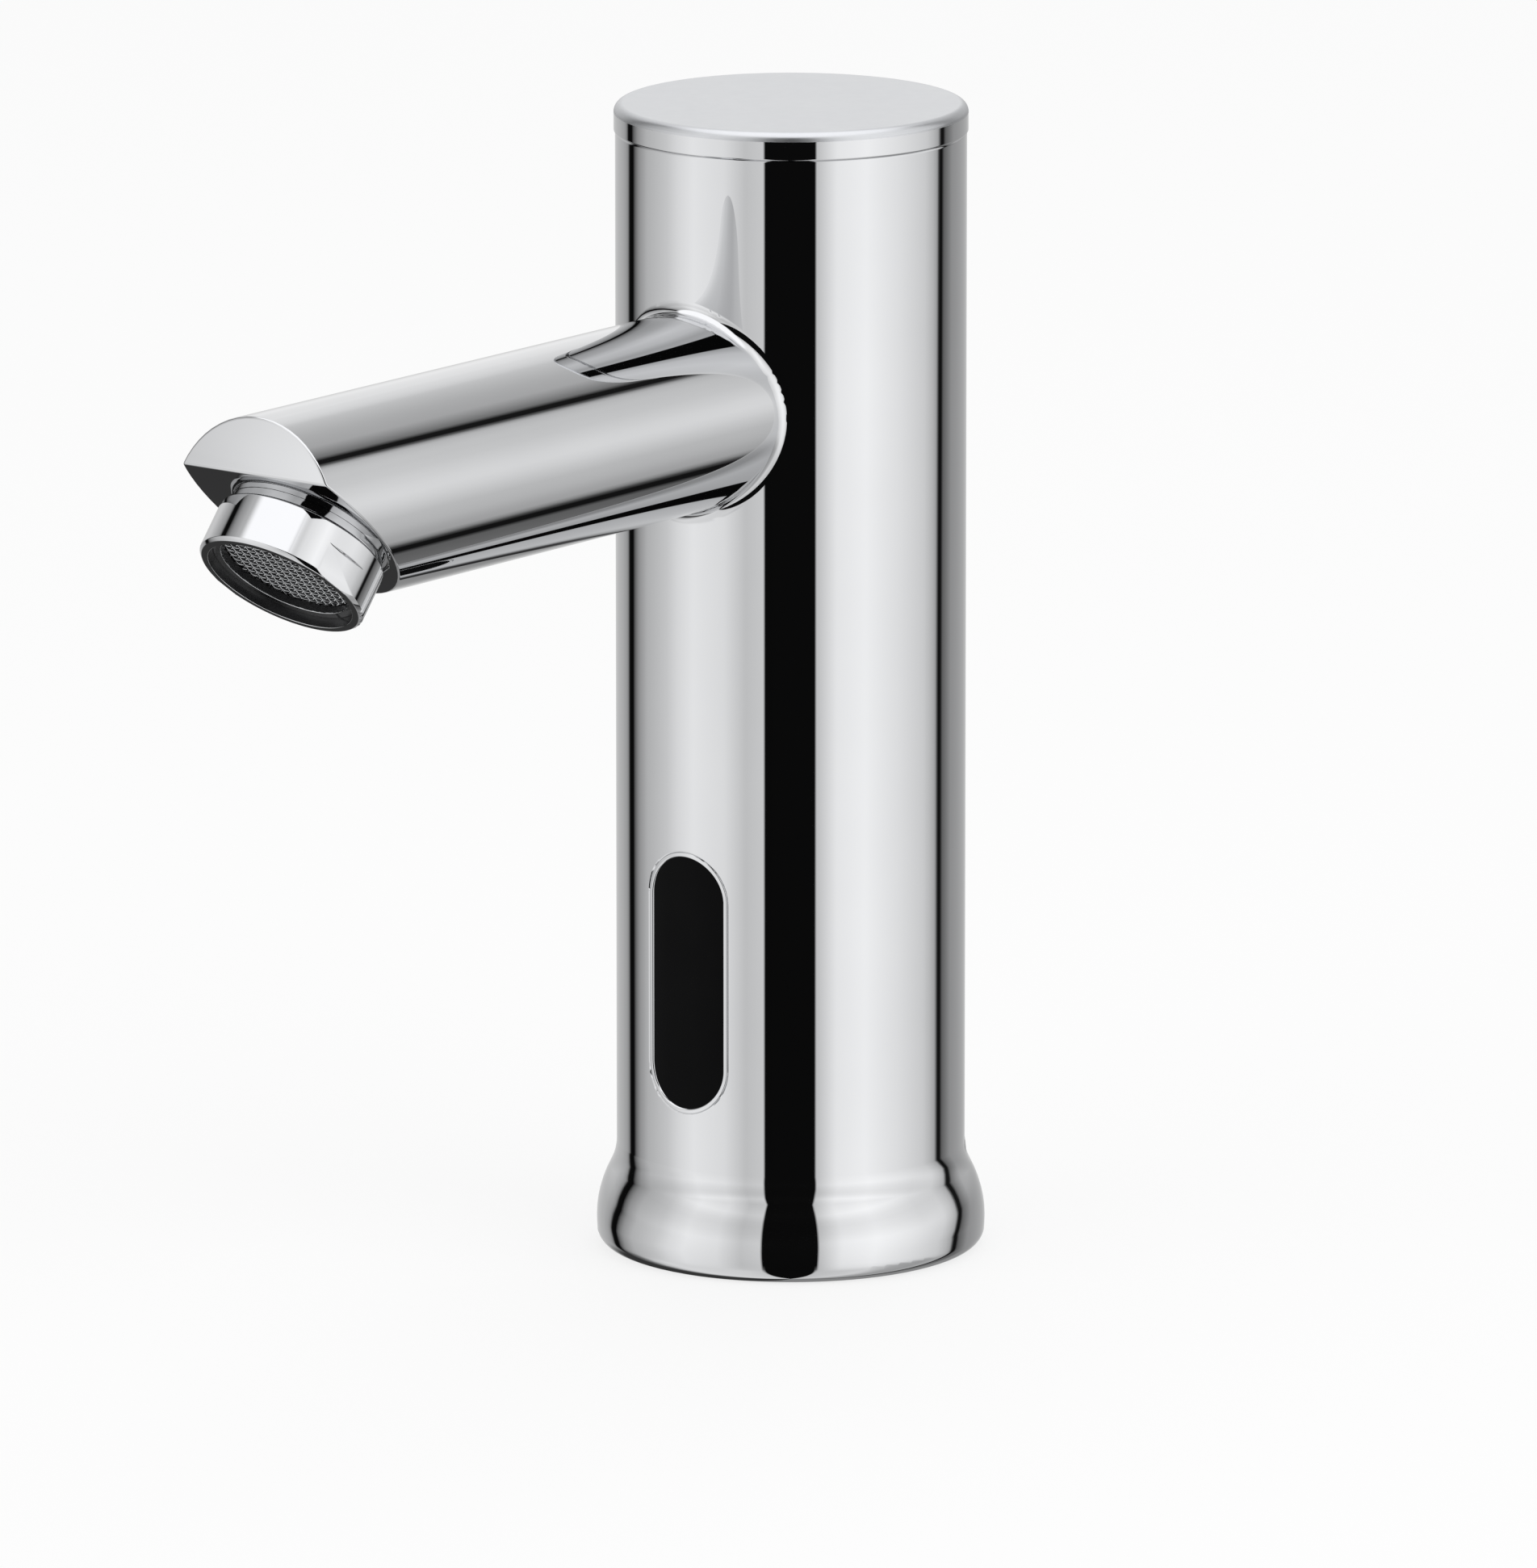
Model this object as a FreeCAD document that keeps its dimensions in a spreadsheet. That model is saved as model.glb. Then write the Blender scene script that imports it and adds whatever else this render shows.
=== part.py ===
import FreeCAD, Part
import math
import os
import re
import Sketcher

# A deck-mounted sensor tap. Millimetres, +Z up, spout along -Y.
# The origin is the mouth of the water inlet, in the middle of the foot, on the deck's surface.

SIZES = [
    # the cast body: column and foot
    ("column_radius", 25.0, "outside of the column"),
    ("column_wall", 3.2, "wall of the column"),
    ("rim_height", 162.0, "top of the cast body"),
    ("rim_chamfer", 0.35, "broken edge of the rim"),
    ("foot_radius", 27.9, "widest part of the foot"),
    ("foot_belly", 3.7, "height of the widest part"),
    ("foot_arc", 16.0, "round of the foot's side"),
    ("foot_round", 2.3, "rounded bottom edge of the foot"),
    ("flare_round", 3.0, "hollow round between foot and column"),
    ("recess_depth", 4.0, "recess under the foot"),
    ("recess_radius", 23.4, "wall of that recess"),
    ("ledge_thickness", 4.0, "inner ledge that carries the valve block"),
    ("ledge_bore", 15.5, "opening in the ledge"),
    # spout
    ("spout_height", 125.0, "axis of the spout above the deck"),
    ("spout_radius", 14.2, "outside of the spout"),
    ("spout_wall", 3.0, "wall of the spout"),
    ("spout_reach", 121.0, "column axis to the tip's sharp edge"),
    ("edge_rise", 6.25, "tip's edge above the spout's axis"),
    ("face_lean", 5.7, "degrees the front face leans back"),
    ("cut_slope", 40.5, "degrees of the cut under the tip, from level"),
    ("junction_fillet", 2.8, "round between spout and column"),
    ("spout_bore_end", 84.0, "end of the spout's wide bore"),
    # window in the column
    ("window_width", 13.0, "sensor window, across"),
    ("window_height", 37.2, "sensor window, overall height"),
    ("window_middle", 42.3, "middle of the window above the deck"),
    ("window_slope", 0.7, "sloped rim of the window"),
    ("lens_gap", 0.12, "gap round the lens"),
    ("lens_inset", 0.3, "lens behind the column's surface"),
    ("lens_flange", 1.8, "flange outside the window's outline"),
    ("lens_back", 17.8, "flat back of the lens from the column's axis"),
    ("gasket_thickness", 0.6, "window gasket"),
    # lid
    ("cap_radius", 25.2, "outside of the lid"),
    ("cap_height", 4.0, "visible height of the lid"),
    ("cap_round", 0.7, "rounded top edge"),
    ("cap_plate", 2.4, "thickness of the lid's plate"),
    ("cap_skirt", 7.5, "length of the threaded skirt"),
    ("cap_skirt_wall", 2.4, "wall of the skirt"),
    ("cap_pitch", 1.5, "pitch of the lid's thread"),
    ("seal_width", 1.6, "step in the rim for the lid's seal"),
    ("seal_height", 1.0, "thickness of the lid's seal"),
    ("thread_gap", 0.05, "radial clearance of a threaded pair"),
    # aerator, square to the cut under the tip
    ("aerator_along", 14.9, "tip's edge to the aerator's axis, along the cut"),
    ("aerator_thread", 11.4, "radius of the aerator's thread"),
    ("aerator_thread_length", 8.0, "length of that thread"),
    ("aerator_radius", 12.3, "outside of the aerator's sleeve"),
    ("aerator_neck", 1.2, "bare neck between the cut and the sleeve"),
    ("aerator_edge", 0.5, "broken edges of the sleeve"),
    ("aerator_height", 9.0, "sleeve below the cut"),
    ("aerator_bore", 10.2, "inside of the sleeve"),
    ("aerator_mouth", 10.8, "radius of the mouth"),
    ("lip_radius", 9.6, "lip that holds mesh and insert"),
    ("lip_height", 1.2, "thickness of the lip"),
    ("mouth_depth", 1.6, "lip behind the sleeve's end"),
    ("flats_half", 11.75, "half the size across the spanner flats"),
    ("flats_height", 4.6, "height of the flats"),
    ("flats_turn", 15.0, "degrees the flats are turned from the side"),
    ("ridge_count", 10, "fine ridges on the far side"),
    ("ridge_step", 7.5, "degrees from ridge to ridge"),
    ("ridge_depth", 0.3, "depth of the grooves between ridges"),
    ("washer_thickness", 1.5, "aerator's washer"),
    ("washer_inner", 8.6, "inside of that washer"),
    ("insert_wall", 1.0, "wall of the jet former"),
    ("insert_plate", 1.4, "plate of the jet former"),
    ("insert_plate_depth", 3.4, "that plate's face above the cut"),
    ("insert_slots", 12, "slots in the plate"),
    ("insert_slot_width", 1.2, "a slot"),
    ("insert_slot_inner", 5.6, "inner end of the slots"),
    ("insert_slot_outer", 8.1, "outer end of the slots"),
    ("mesh_pitch", 2.4, "pitch of the mesh's openings"),
    ("mesh_opening", 1.7, "side of an opening"),
    ("mesh_thickness", 0.5, "mesh disc"),
    # outlet adapter in the spout
    ("adapter_sleeve", 6.0, "radius of the adapter's nose"),
    ("adapter_nose", 7.2, "length of the nose"),
    ("adapter_flange", 9.0, "radius of the flange"),
    ("adapter_flange_thickness", 2.2, "flange"),
    ("socket_depth", 3.0, "tube's end beyond the spout's shoulder"),
    # riser, elbow and spout tube
    ("tube_radius", 3.5, "outside of both tubes"),
    ("tube_wall", 0.8, "their wall"),
    ("tube_x", 15.8, "riser to the right of the axis"),
    ("tube_y", 5.2, "riser in front of the axis"),
    ("riser_nut_flats", 4.5, "nut on the block, to its flats"),
    ("riser_nut_height", 4.6, "that nut"),
    ("elbow_wall", 1.4, "wall of the elbow round a tube"),
    ("elbow_half", 6.0, "elbow above and below the spout's axis"),
    ("elbow_socket", 4.0, "depth of the elbow's sockets"),
    ("elbow_turn_y", 17.5, "where the elbow's slanted way meets the spout's plane"),
    ("elbow_front_y", 26.0, "front of the elbow"),
    ("elbow_foot_turn", 18.0, "degrees that the hexagon over the riser is turned"),
    # valve block
    ("block_clearance", 0.2, "block inside the column"),
    ("block_top", 21.0, "top of the valve block"),
    ("boss_gap", 0.2, "block's boss in the ledge's opening"),
    ("inlet_radius", 4.5, "tapped inlet, M10x1"),
    ("inlet_depth", 8.4, "depth of the inlet's thread"),
    ("filter_height", 1.0, "pocket for the filter disc"),
    ("filter_step", 0.4, "pocket inside the thread's wall"),
    ("filter_rib", 1.2, "cross of ribs in the filter"),
    ("filter_opening", 1.8, "side of the filter's openings"),
    ("stud_hole", 2.5, "tapped hole for a fastening stud, M6"),
    ("stud_spacing", 21.0, "between the two stud holes"),
    ("stud_depth", 9.0, "depth of a stud hole"),
    ("valve_y", 5.5, "valve axis behind the column's axis"),
    ("seat_radius", 5.4, "outside of the valve's nozzle"),
    ("nozzle_bore", 3.2, "bore of the nozzle"),
    ("chamber_radius", 9.2, "annular chamber round the nozzle"),
    ("chamber_depth", 2.8, "its depth below the seat"),
    ("way_radius", 2.2, "outlet way through the block"),
    ("way_height", 13.2, "height of the outlet way"),
    ("way_room", 0.4, "crossing ways past each other's walls"),
    ("feed_radius", 1.8, "way from inlet to chamber"),
    ("block_screw_circle", 18.5, "screws that hold the block, from the axis"),
    ("block_screw_angle", 22.0, "degrees of the first of them"),
    ("screw_radius", 1.45, "M3 screw"),
    ("screw_clearance", 0.15, "its hole"),
    ("screw_head_radius", 2.7, "M3 head"),
    ("screw_head_height", 3.0, "M3 head"),
    ("screw_end_gap", 0.5, "screw's end above the recess"),
    # diaphragm valve
    ("membrane_radius", 11.15, "rubber membrane"),
    ("membrane_gap", 0.1, "round the membrane"),
    ("membrane_web", 1.0, "thickness of the web"),
    ("membrane_rim", 1.8, "thickness of the rim"),
    ("membrane_rim_width", 1.5, "width of the rim"),
    ("disc_radius", 4.8, "stiff disc on the membrane"),
    ("disc_thickness", 1.2, "stiff disc"),
    ("disc_stem", 1.4, "stem through the membrane"),
    ("pilot_hole", 0.6, "pilot hole through the stem"),
    ("lift", 1.8, "stroke of the plunger"),
    ("bonnet_radius", 12.0, "bonnet's flange"),
    ("bonnet_thickness", 4.0, "bonnet's flange"),
    ("bonnet_cavity", 9.4, "space above the membrane"),
    ("bonnet_cavity_height", 2.8, "its height"),
    ("hub_radius", 7.2, "hexagon hub of the bonnet, to its flats"),
    ("hub_height", 2.8, "hub of the bonnet"),
    ("bonnet_screw_circle", 13.4, "screws round the valve's axis"),
    ("bonnet_lug", 2.2, "radius of a lug"),
    ("small_screw", 1.2, "M2.5 screw"),
    ("small_head", 2.2, "M2.5 head"),
    ("small_head_height", 1.6, "M2.5 head"),
    ("small_screw_length", 8.0, "M2.5 screw under its head"),
    # solenoid
    ("core_radius", 5.0, "core tube, outside"),
    ("core_bore", 4.1, "core tube, inside"),
    ("core_flange", 6.4, "flange at its foot"),
    ("core_flange_thickness", 0.8, "that flange"),
    ("core_top", 53.6, "top of the core tube"),
    ("pole_length", 11.4, "solid pole in the tube's top"),
    ("plunger_gap", 0.08, "plunger in the core tube"),
    ("plunger_top_gap", 2.2, "plunger below the pole when closed"),
    ("pad_radius", 1.6, "rubber tip of the plunger"),
    ("pad_length", 2.0, "rubber tip"),
    ("pad_proud", 0.8, "tip below the plunger"),
    ("spring_radius", 2.4, "closing spring, outside"),
    ("spring_wire", 0.5, "its wire"),
    ("spring_length", 12.0, "spring when closed"),
    ("fit_gap", 0.1, "loose fit of inner pieces"),
    ("yoke_thickness", 1.2, "steel strip of the yoke"),
    ("yoke_width", 12.0, "width of the strip"),
    ("yoke_gap", 0.4, "yoke beside the bobbin"),
    ("bobbin_half", 9.6, "half the side of the bobbin's flanges"),
    ("bobbin_wall", 0.9, "wall of the bobbin"),
    ("bobbin_height", 16.4, "height of the bobbin"),
    ("winding_radius", 9.2, "outside of the winding"),
    ("magnet_half", 7.5, "half the side of the block magnet"),
    ("magnet_height", 4.0, "block magnet"),
    ("core_nut_flats", 6.5, "nut on the core tube, to its flats"),
    ("core_nut_height", 2.4, "that nut"),
    # inner frame and sensor
    ("sheet", 1.2, "steel sheet of the inner frame"),
    ("spine_back", 9.4, "back of the spine, in front of the axis"),
    ("spine_width", 17.0, "width of the spine"),
    ("foot_tab_width", 27.6, "width of the frame's foot"),
    ("foot_tab_depth", 6.0, "foot, front to back"),
    ("ear_screw_x", 11.2, "frame's screws from the middle"),
    ("ear_screw_y", 12.8, "frame's screws in front of the axis"),
    ("shelf_height", 68.4, "top of the battery shelf"),
    ("shelf_width", 20.0, "battery shelf"),
    ("shelf_back", 16.5, "back edge of the shelf"),
    ("shelf_corner", 4.0, "rounded corners of the shelf"),
    ("tray_width", 16.6, "sensor tray"),
    ("tray_bottom", 22.4, "bottom of the tray"),
    ("tray_height", 40.0, "height of the tray"),
    ("tray_wall", 1.2, "wall of the tray"),
    ("barrier_height", 42.2, "wall between sender and receiver"),
    ("hook_width", 5.0, "hooks that hold the tray in the spine"),
    ("hook_height", 2.0, "a hook"),
    ("hook_inset", 7.0, "hooks from the tray's ends"),
    ("hook_proud", 0.5, "hooks behind the spine"),
    ("board_thickness", 1.4, "circuit board"),
    ("board_gap", 0.6, "board inside the tray"),
    ("led_radius", 2.5, "sender and receiver"),
    ("led_length", 4.0, "sender and receiver, off the board"),
    ("emitter_height", 51.5, "sender above the deck"),
    ("receiver_height", 31.5, "receiver above the deck"),
    ("status_height", 44.8, "status light above the deck"),
    ("status_radius", 1.5, "status light"),
    ("status_length", 3.2, "status light, off the board"),
    ("diode_nose", 0.8, "sloped nose of the diodes"),
    ("plug_x", 3.5, "sockets beside the middle"),
    ("plug_width", 4.6, "a socket"),
    ("plug_height", 3.4, "a socket"),
    ("plug_depth", 3.0, "a socket, off the board"),
    # cells and holder
    ("cell_radius", 5.25, "AAA cell"),
    ("cell_length", 44.5, "AAA cell"),
    ("cell_button", 1.9, "radius of a cell's end button"),
    ("cell_button_height", 1.0, "that button"),
    ("cell_spacing", 11.0, "from cell to cell"),
    ("cell_gap", 0.25, "round the cells in the holder"),
    ("holder_side", 23.0, "battery holder"),
    ("holder_corner", 3.0, "its corners"),
    ("holder_y", 6.5, "holder's axis behind the column's axis"),
    ("holder_floor", 2.0, "holder's floor"),
    ("holder_lid", 2.0, "holder's lid"),
    ("contact_thickness", 0.4, "contact plates"),
    ("contact_width", 7.0, "contact plates"),
    ("contact_gap", 0.4, "contact plates to the cells' ends"),
    ("strap_width", 8.0, "pull strap on the lid"),
    ("strap_height", 8.0, "pull strap on the lid"),
    ("strap_thickness", 1.6, "pull strap on the lid"),
    # leads
    ("lead_width", 2.8, "flat two-core lead"),
    ("lead_thickness", 1.3, "flat two-core lead"),
    ("lead_bend", 4.5, "bend of a lead, along its middle"),
    ("lead_room", 0.6, "room round a lead where it passes through"),
    ("battery_lead_height", 78.0, "battery lead's top run"),
    ("solenoid_lead_height", 65.6, "solenoid lead's top run"),
    ("solenoid_lead_y", 3.2, "where it drops, in front of the axis"),
    # gasket under the foot
    ("base_gasket_inner", 17.0, "inside of the gasket"),
    ("base_gasket_gap", 0.1, "gasket in the recess"),
]

# Places that follow from the sizes above, used by more than one piece.
DERIVED = [
    ("foot_side", "foot_radius - foot_arc + sqrt(foot_arc^2 - (foot_belly - foot_round)^2)"),
    ("flare_cos", "1 - (foot_radius - column_radius)/(foot_arc + flare_round)"),
    ("flare_sin", "sqrt(1 - flare_cos^2)"),
    ("bore_radius", "column_radius - column_wall"),
    ("ledge_top", "recess_depth + ledge_thickness"),
    ("boss_radius", "ledge_bore - boss_gap"),
    ("seat_top", "block_top - membrane_rim"),
    ("riser_foot", "way_height + way_radius + way_room"),
    ("membrane_top", "seat_top + membrane_web"),
    ("disc_top", "membrane_top + disc_thickness"),
    ("bonnet_top", "block_top + bonnet_thickness"),
    ("hub_top", "bonnet_top + hub_height"),
    ("core_foot", "block_top + bonnet_cavity_height - core_flange_thickness"),
    ("pole_bottom", "core_top - pole_length"),
    ("yoke_top", "hub_top + 2*yoke_thickness + bobbin_height"),
    ("magnet_top", "yoke_top + magnet_height"),
    ("edge_height", "spout_height + edge_rise"),
    ("aerator_y", "spout_reach - aerator_along*cos(cut_slope)"),
    ("aerator_z", "edge_height - aerator_along*sin(cut_slope)"),
    ("aerator_seat_depth", "aerator_thread_length + washer_thickness"),
    ("lip_top", "aerator_height - mouth_depth - lip_height"),
    ("tray_front", "lens_back"),
    ("tray_back", "spine_back + sheet"),
    ("tray_top", "tray_bottom + tray_height"),
    ("board_back", "tray_back + tray_wall"),
    ("board_front", "board_back + board_thickness"),
    ("board_top", "tray_top - tray_wall - board_gap"),
    ("lead_y", "board_front + plug_depth/2"),
    ("plug_top", "board_top - board_gap"),
    ("cell_bottom", "shelf_height + holder_floor + contact_thickness + contact_gap"),
    ("cell_top", "cell_bottom + cell_length"),
    ("holder_top", "cell_top + contact_gap + contact_thickness"),
]

doc = FreeCAD.newDocument("SensorTap")
sheet = doc.addObject("Spreadsheet::Sheet", "Sizes")
ALIASES = {alias for alias, _, _ in SIZES} | {alias for alias, _ in DERIVED}


def cell(formula):
    """The formula with each size's name pointing at its cell."""
    def full_name(word):
        return "Sizes." + word.group() if word.group() in ALIASES else word.group()

    return re.sub(r"[a-z_]+", full_name, formula)


def fill_sheet():
    for row, (alias, number, words) in enumerate(SIZES, start=1):
        sheet.set(f"A{row}", words)
        sheet.set(f"B{row}", str(number))
        sheet.setAlias(f"B{row}", alias)
    doc.recompute()
    for row, (alias, formula) in enumerate(DERIVED, start=len(SIZES) + 2):
        sheet.set(f"A{row}", alias.replace("_", " "))
        sheet.set(f"B{row}", "=" + re.sub(r"Sizes\.", "", cell(formula)))
        sheet.setAlias(f"B{row}", alias)
    doc.recompute()


def size(formula):
    """The present value of a formula of sizes."""
    found = sheet.evalExpression(cell(formula))
    return float(getattr(found, "Value", found))


# --- sketches ---------------------------------------------------------------------------------


def new_body(label):
    body = doc.addObject("PartDesign::Body", label)
    body.Label = label
    return body


def new_sketch(body, role="XY_Plane", height=None):
    """A sketch on one of the body's own origin planes, raised by a formula."""
    name = f"{body.Name}_sketch{len(body.Group)}"
    sketch = body.newObject("Sketcher::SketchObject", name)
    plane = [f for f in body.Origin.OriginFeatures if f.Role == role][0]
    sketch.AttachmentSupport = [(plane, "")]
    sketch.MapMode = "FlatFace"
    if height is not None:
        sketch.setExpression("AttachmentOffset.Base.z", cell(height))
    return sketch


def tie(sketch, kind, places, formula):
    """A driving dimension bound to a formula of sizes."""
    index = sketch.addConstraint(Sketcher.Constraint(kind, *places, size(formula)))
    sketch.setExpression(f"Constraints[{index}]", cell(formula))


def fix(sketch, geometry, point, x, y):
    """Puts one point of a sketch element at (x, y)."""
    for kind, axis, formula in (("DistanceX", -2, x), ("DistanceY", -1, y)):
        if formula == "0":
            sketch.addConstraint(Sketcher.Constraint("PointOnObject", geometry, point, axis))
        else:
            tie(sketch, kind, (-1, 1, geometry, point), formula)


def arc_through(start, end, radius, side):
    """The short arc from start to end, its centre to the left (side 1) or the right (side -1)."""
    chord = end - start
    middle = (start + end) * 0.5
    left = FreeCAD.Vector(-chord.y, chord.x, 0).normalize()
    centre = middle + left * (side * math.sqrt(max(radius**2 - (chord.Length / 2) ** 2, 0)))
    first = math.atan2(start.y - centre.y, start.x - centre.x)
    last = math.atan2(end.y - centre.y, end.x - centre.x)
    if side < 0:
        first, last = last, first
    if last < first:
        last += 2 * math.pi
    circle = Part.Circle(centre, FreeCAD.Vector(0, 0, 1), radius)
    return Part.ArcOfCircle(circle, first, last)


def outline(sketch, corners):
    """A closed outline. A corner is (x, y), or (x, y, radius, side) where an arc leaves it."""
    places = [FreeCAD.Vector(size(c[0]), size(c[1]), 0) for c in corners]
    ends = []
    for n, corner in enumerate(corners):
        start, end = places[n], places[(n + 1) % len(places)]
        if len(corner) == 2:
            index = sketch.addGeometry(Part.LineSegment(start, end))
            ends.append((index, 1, 2))
        else:
            index = sketch.addGeometry(arc_through(start, end, size(corner[2]), corner[3]))
            ends.append((index, 1, 2) if corner[3] > 0 else (index, 2, 1))
    for n, (index, first, last) in enumerate(ends):
        after, after_first, _ = ends[(n + 1) % len(ends)]
        sketch.addConstraint(Sketcher.Constraint("Coincident", index, last, after, after_first))
        fix(sketch, index, first, corners[n][0], corners[n][1])
        if len(corners[n]) == 4:
            tie(sketch, "Radius", (index,), corners[n][2])
    return sketch


def circle(sketch, x, y, radius):
    centre = FreeCAD.Vector(size(x), size(y), 0)
    index = sketch.addGeometry(Part.Circle(centre, FreeCAD.Vector(0, 0, 1), size(radius)))
    fix(sketch, index, 3, x, y)
    tie(sketch, "Radius", (index,), radius)
    return sketch


def rectangle(sketch, left, right, low, high):
    return outline(sketch, [(left, low), (right, low), (right, high), (left, high)])


def rounded(sketch, half_x, half_y, y, radius):
    """A rectangle about (0, y) with quarter-round corners."""
    inner_x, inner_y = f"({half_x} - {radius})", f"({half_y} - {radius})"
    straight = size(inner_x) > 1e-6
    corners = [(half_x, f"{y} - {inner_y}"), (half_x, f"{y} + {inner_y}", radius, 1)]
    corners += [(inner_x, f"{y} + {half_y}"), (f"-{inner_x}", f"{y} + {half_y}", radius, 1)]
    corners += [(f"-{half_x}", f"{y} + {inner_y}"), (f"-{half_x}", f"{y} - {inner_y}", radius, 1)]
    corners += [(f"-{inner_x}", f"{y} - {half_y}"), (inner_x, f"{y} - {half_y}", radius, 1)]
    if not straight:
        corners = [
            (half_x, f"{y} - {inner_y}"),
            (half_x, f"{y} + {inner_y}", radius, 1),
            ("0", f"{y} + {half_y}", radius, 1),
            (f"-{half_x}", f"{y} + {inner_y}"),
            (f"-{half_x}", f"{y} - {inner_y}", radius, 1),
            ("0", f"{y} - {half_y}", radius, 1),
        ]
    return outline(sketch, corners)


def stadium(sketch, width, height, y):
    """An upright slot about (0, y)."""
    return rounded(sketch, f"({width})/2", f"({height})/2", y, f"({width})/2")


# --- features ---------------------------------------------------------------------------------


def feature(body, kind, sketch, **settings):
    made = body.newObject(f"PartDesign::{kind}", f"{body.Name}_{kind}{len(body.Group)}")
    made.Profile = sketch
    for name, value in settings.items():
        setattr(made, name, value)
    sketch.Visibility = False
    return made


def pad(body, sketch, length, reverse=False, both_ways=False):
    made = feature(body, "Pad", sketch, Reversed=reverse)
    made.SideType = "Symmetric" if both_ways else "One side"
    made.setExpression("Length", cell(length))
    return made


def pocket(body, sketch, length, reverse=False, both_ways=False):
    made = feature(body, "Pocket", sketch, Reversed=reverse)
    made.SideType = "Symmetric" if both_ways else "One side"
    made.setExpression("Length", cell(length))
    return made


def turn(body, sketch, axis="V_Axis"):
    return feature(body, "Revolution", sketch, ReferenceAxis=(sketch, [axis]), Angle=360)


def groove(body, sketch, axis="V_Axis"):
    return feature(body, "Groove", sketch, ReferenceAxis=(sketch, [axis]), Angle=360)


def hole(body, x, y, radius, low, high):
    """A round upright hole from one height to another."""
    return pocket(body, circle(new_sketch(body, height=high), x, y, radius), f"{high} - ({low})")


def round_axis(radius, angle, y="0"):
    """A plan point so far from (0, y), at an angle from +X."""
    return f"{radius}*cos({angle})", f"{y} + {radius}*sin({angle})"


def edges_where(shape, wanted):
    return [f"Edge{n}" for n, edge in enumerate(shape.Edges, start=1) if wanted(edge)]


def dress(body, kind, wanted, formula, prop):
    """A fillet or a chamfer on the edges of the body's present shape that pass a test."""
    doc.recompute()
    base = body.Tip
    made = body.newObject(f"PartDesign::{kind}", f"{body.Name}_{kind}{len(body.Group)}")
    names = edges_where(base.Shape, wanted)
    if not names:
        raise ValueError(f"{body.Label}: no edge for this {kind}")
    made.Base = (base, names)
    made.setExpression(prop, cell(formula))
    return made


def fillet(body, wanted, radius):
    return dress(body, "Fillet", wanted, radius, "Radius")


def chamfer(body, wanted, width):
    return dress(body, "Chamfer", wanted, width, "Size")


def around(body, made, count, axis, angle="360"):
    """Repeats a feature round the body's own axis."""
    pattern = body.newObject("PartDesign::PolarPattern", f"{body.Name}_pattern{len(body.Group)}")
    pattern.Originals = [made]
    line = [f for f in body.Origin.OriginFeatures if f.Role == axis][0]
    pattern.Axis = (line, [""])
    pattern.setExpression("Angle", cell(angle))
    pattern.setExpression("Occurrences", cell(count))
    body.Tip = pattern
    return pattern


def place(body, x="0", y="0", z="0", tilt="0"):
    """Moves a finished piece to its seat and tilts it about the X axis."""
    body.Placement = FreeCAD.Placement(
        FreeCAD.Vector(size(x), size(y), size(z)), FreeCAD.Rotation(FreeCAD.Vector(1, 0, 0), size(tilt))
    )
    for letter, formula in (("x", x), ("y", y), ("z", z)):
        body.setExpression(f"Placement.Base.{letter}", cell(formula))
    if tilt != "0":
        body.setExpression("Placement.Rotation.Angle", cell(tilt))
    return body


def ring(label, inner, outer, low, high, x="0", y="0"):
    """A plain ring or sleeve about an upright axis."""
    body = new_body(label)
    turn(body, rectangle(new_sketch(body, "XZ_Plane"), inner, outer, low, high))
    return place(body, x, y)


# --- the cast body ----------------------------------------------------------------------------


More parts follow.
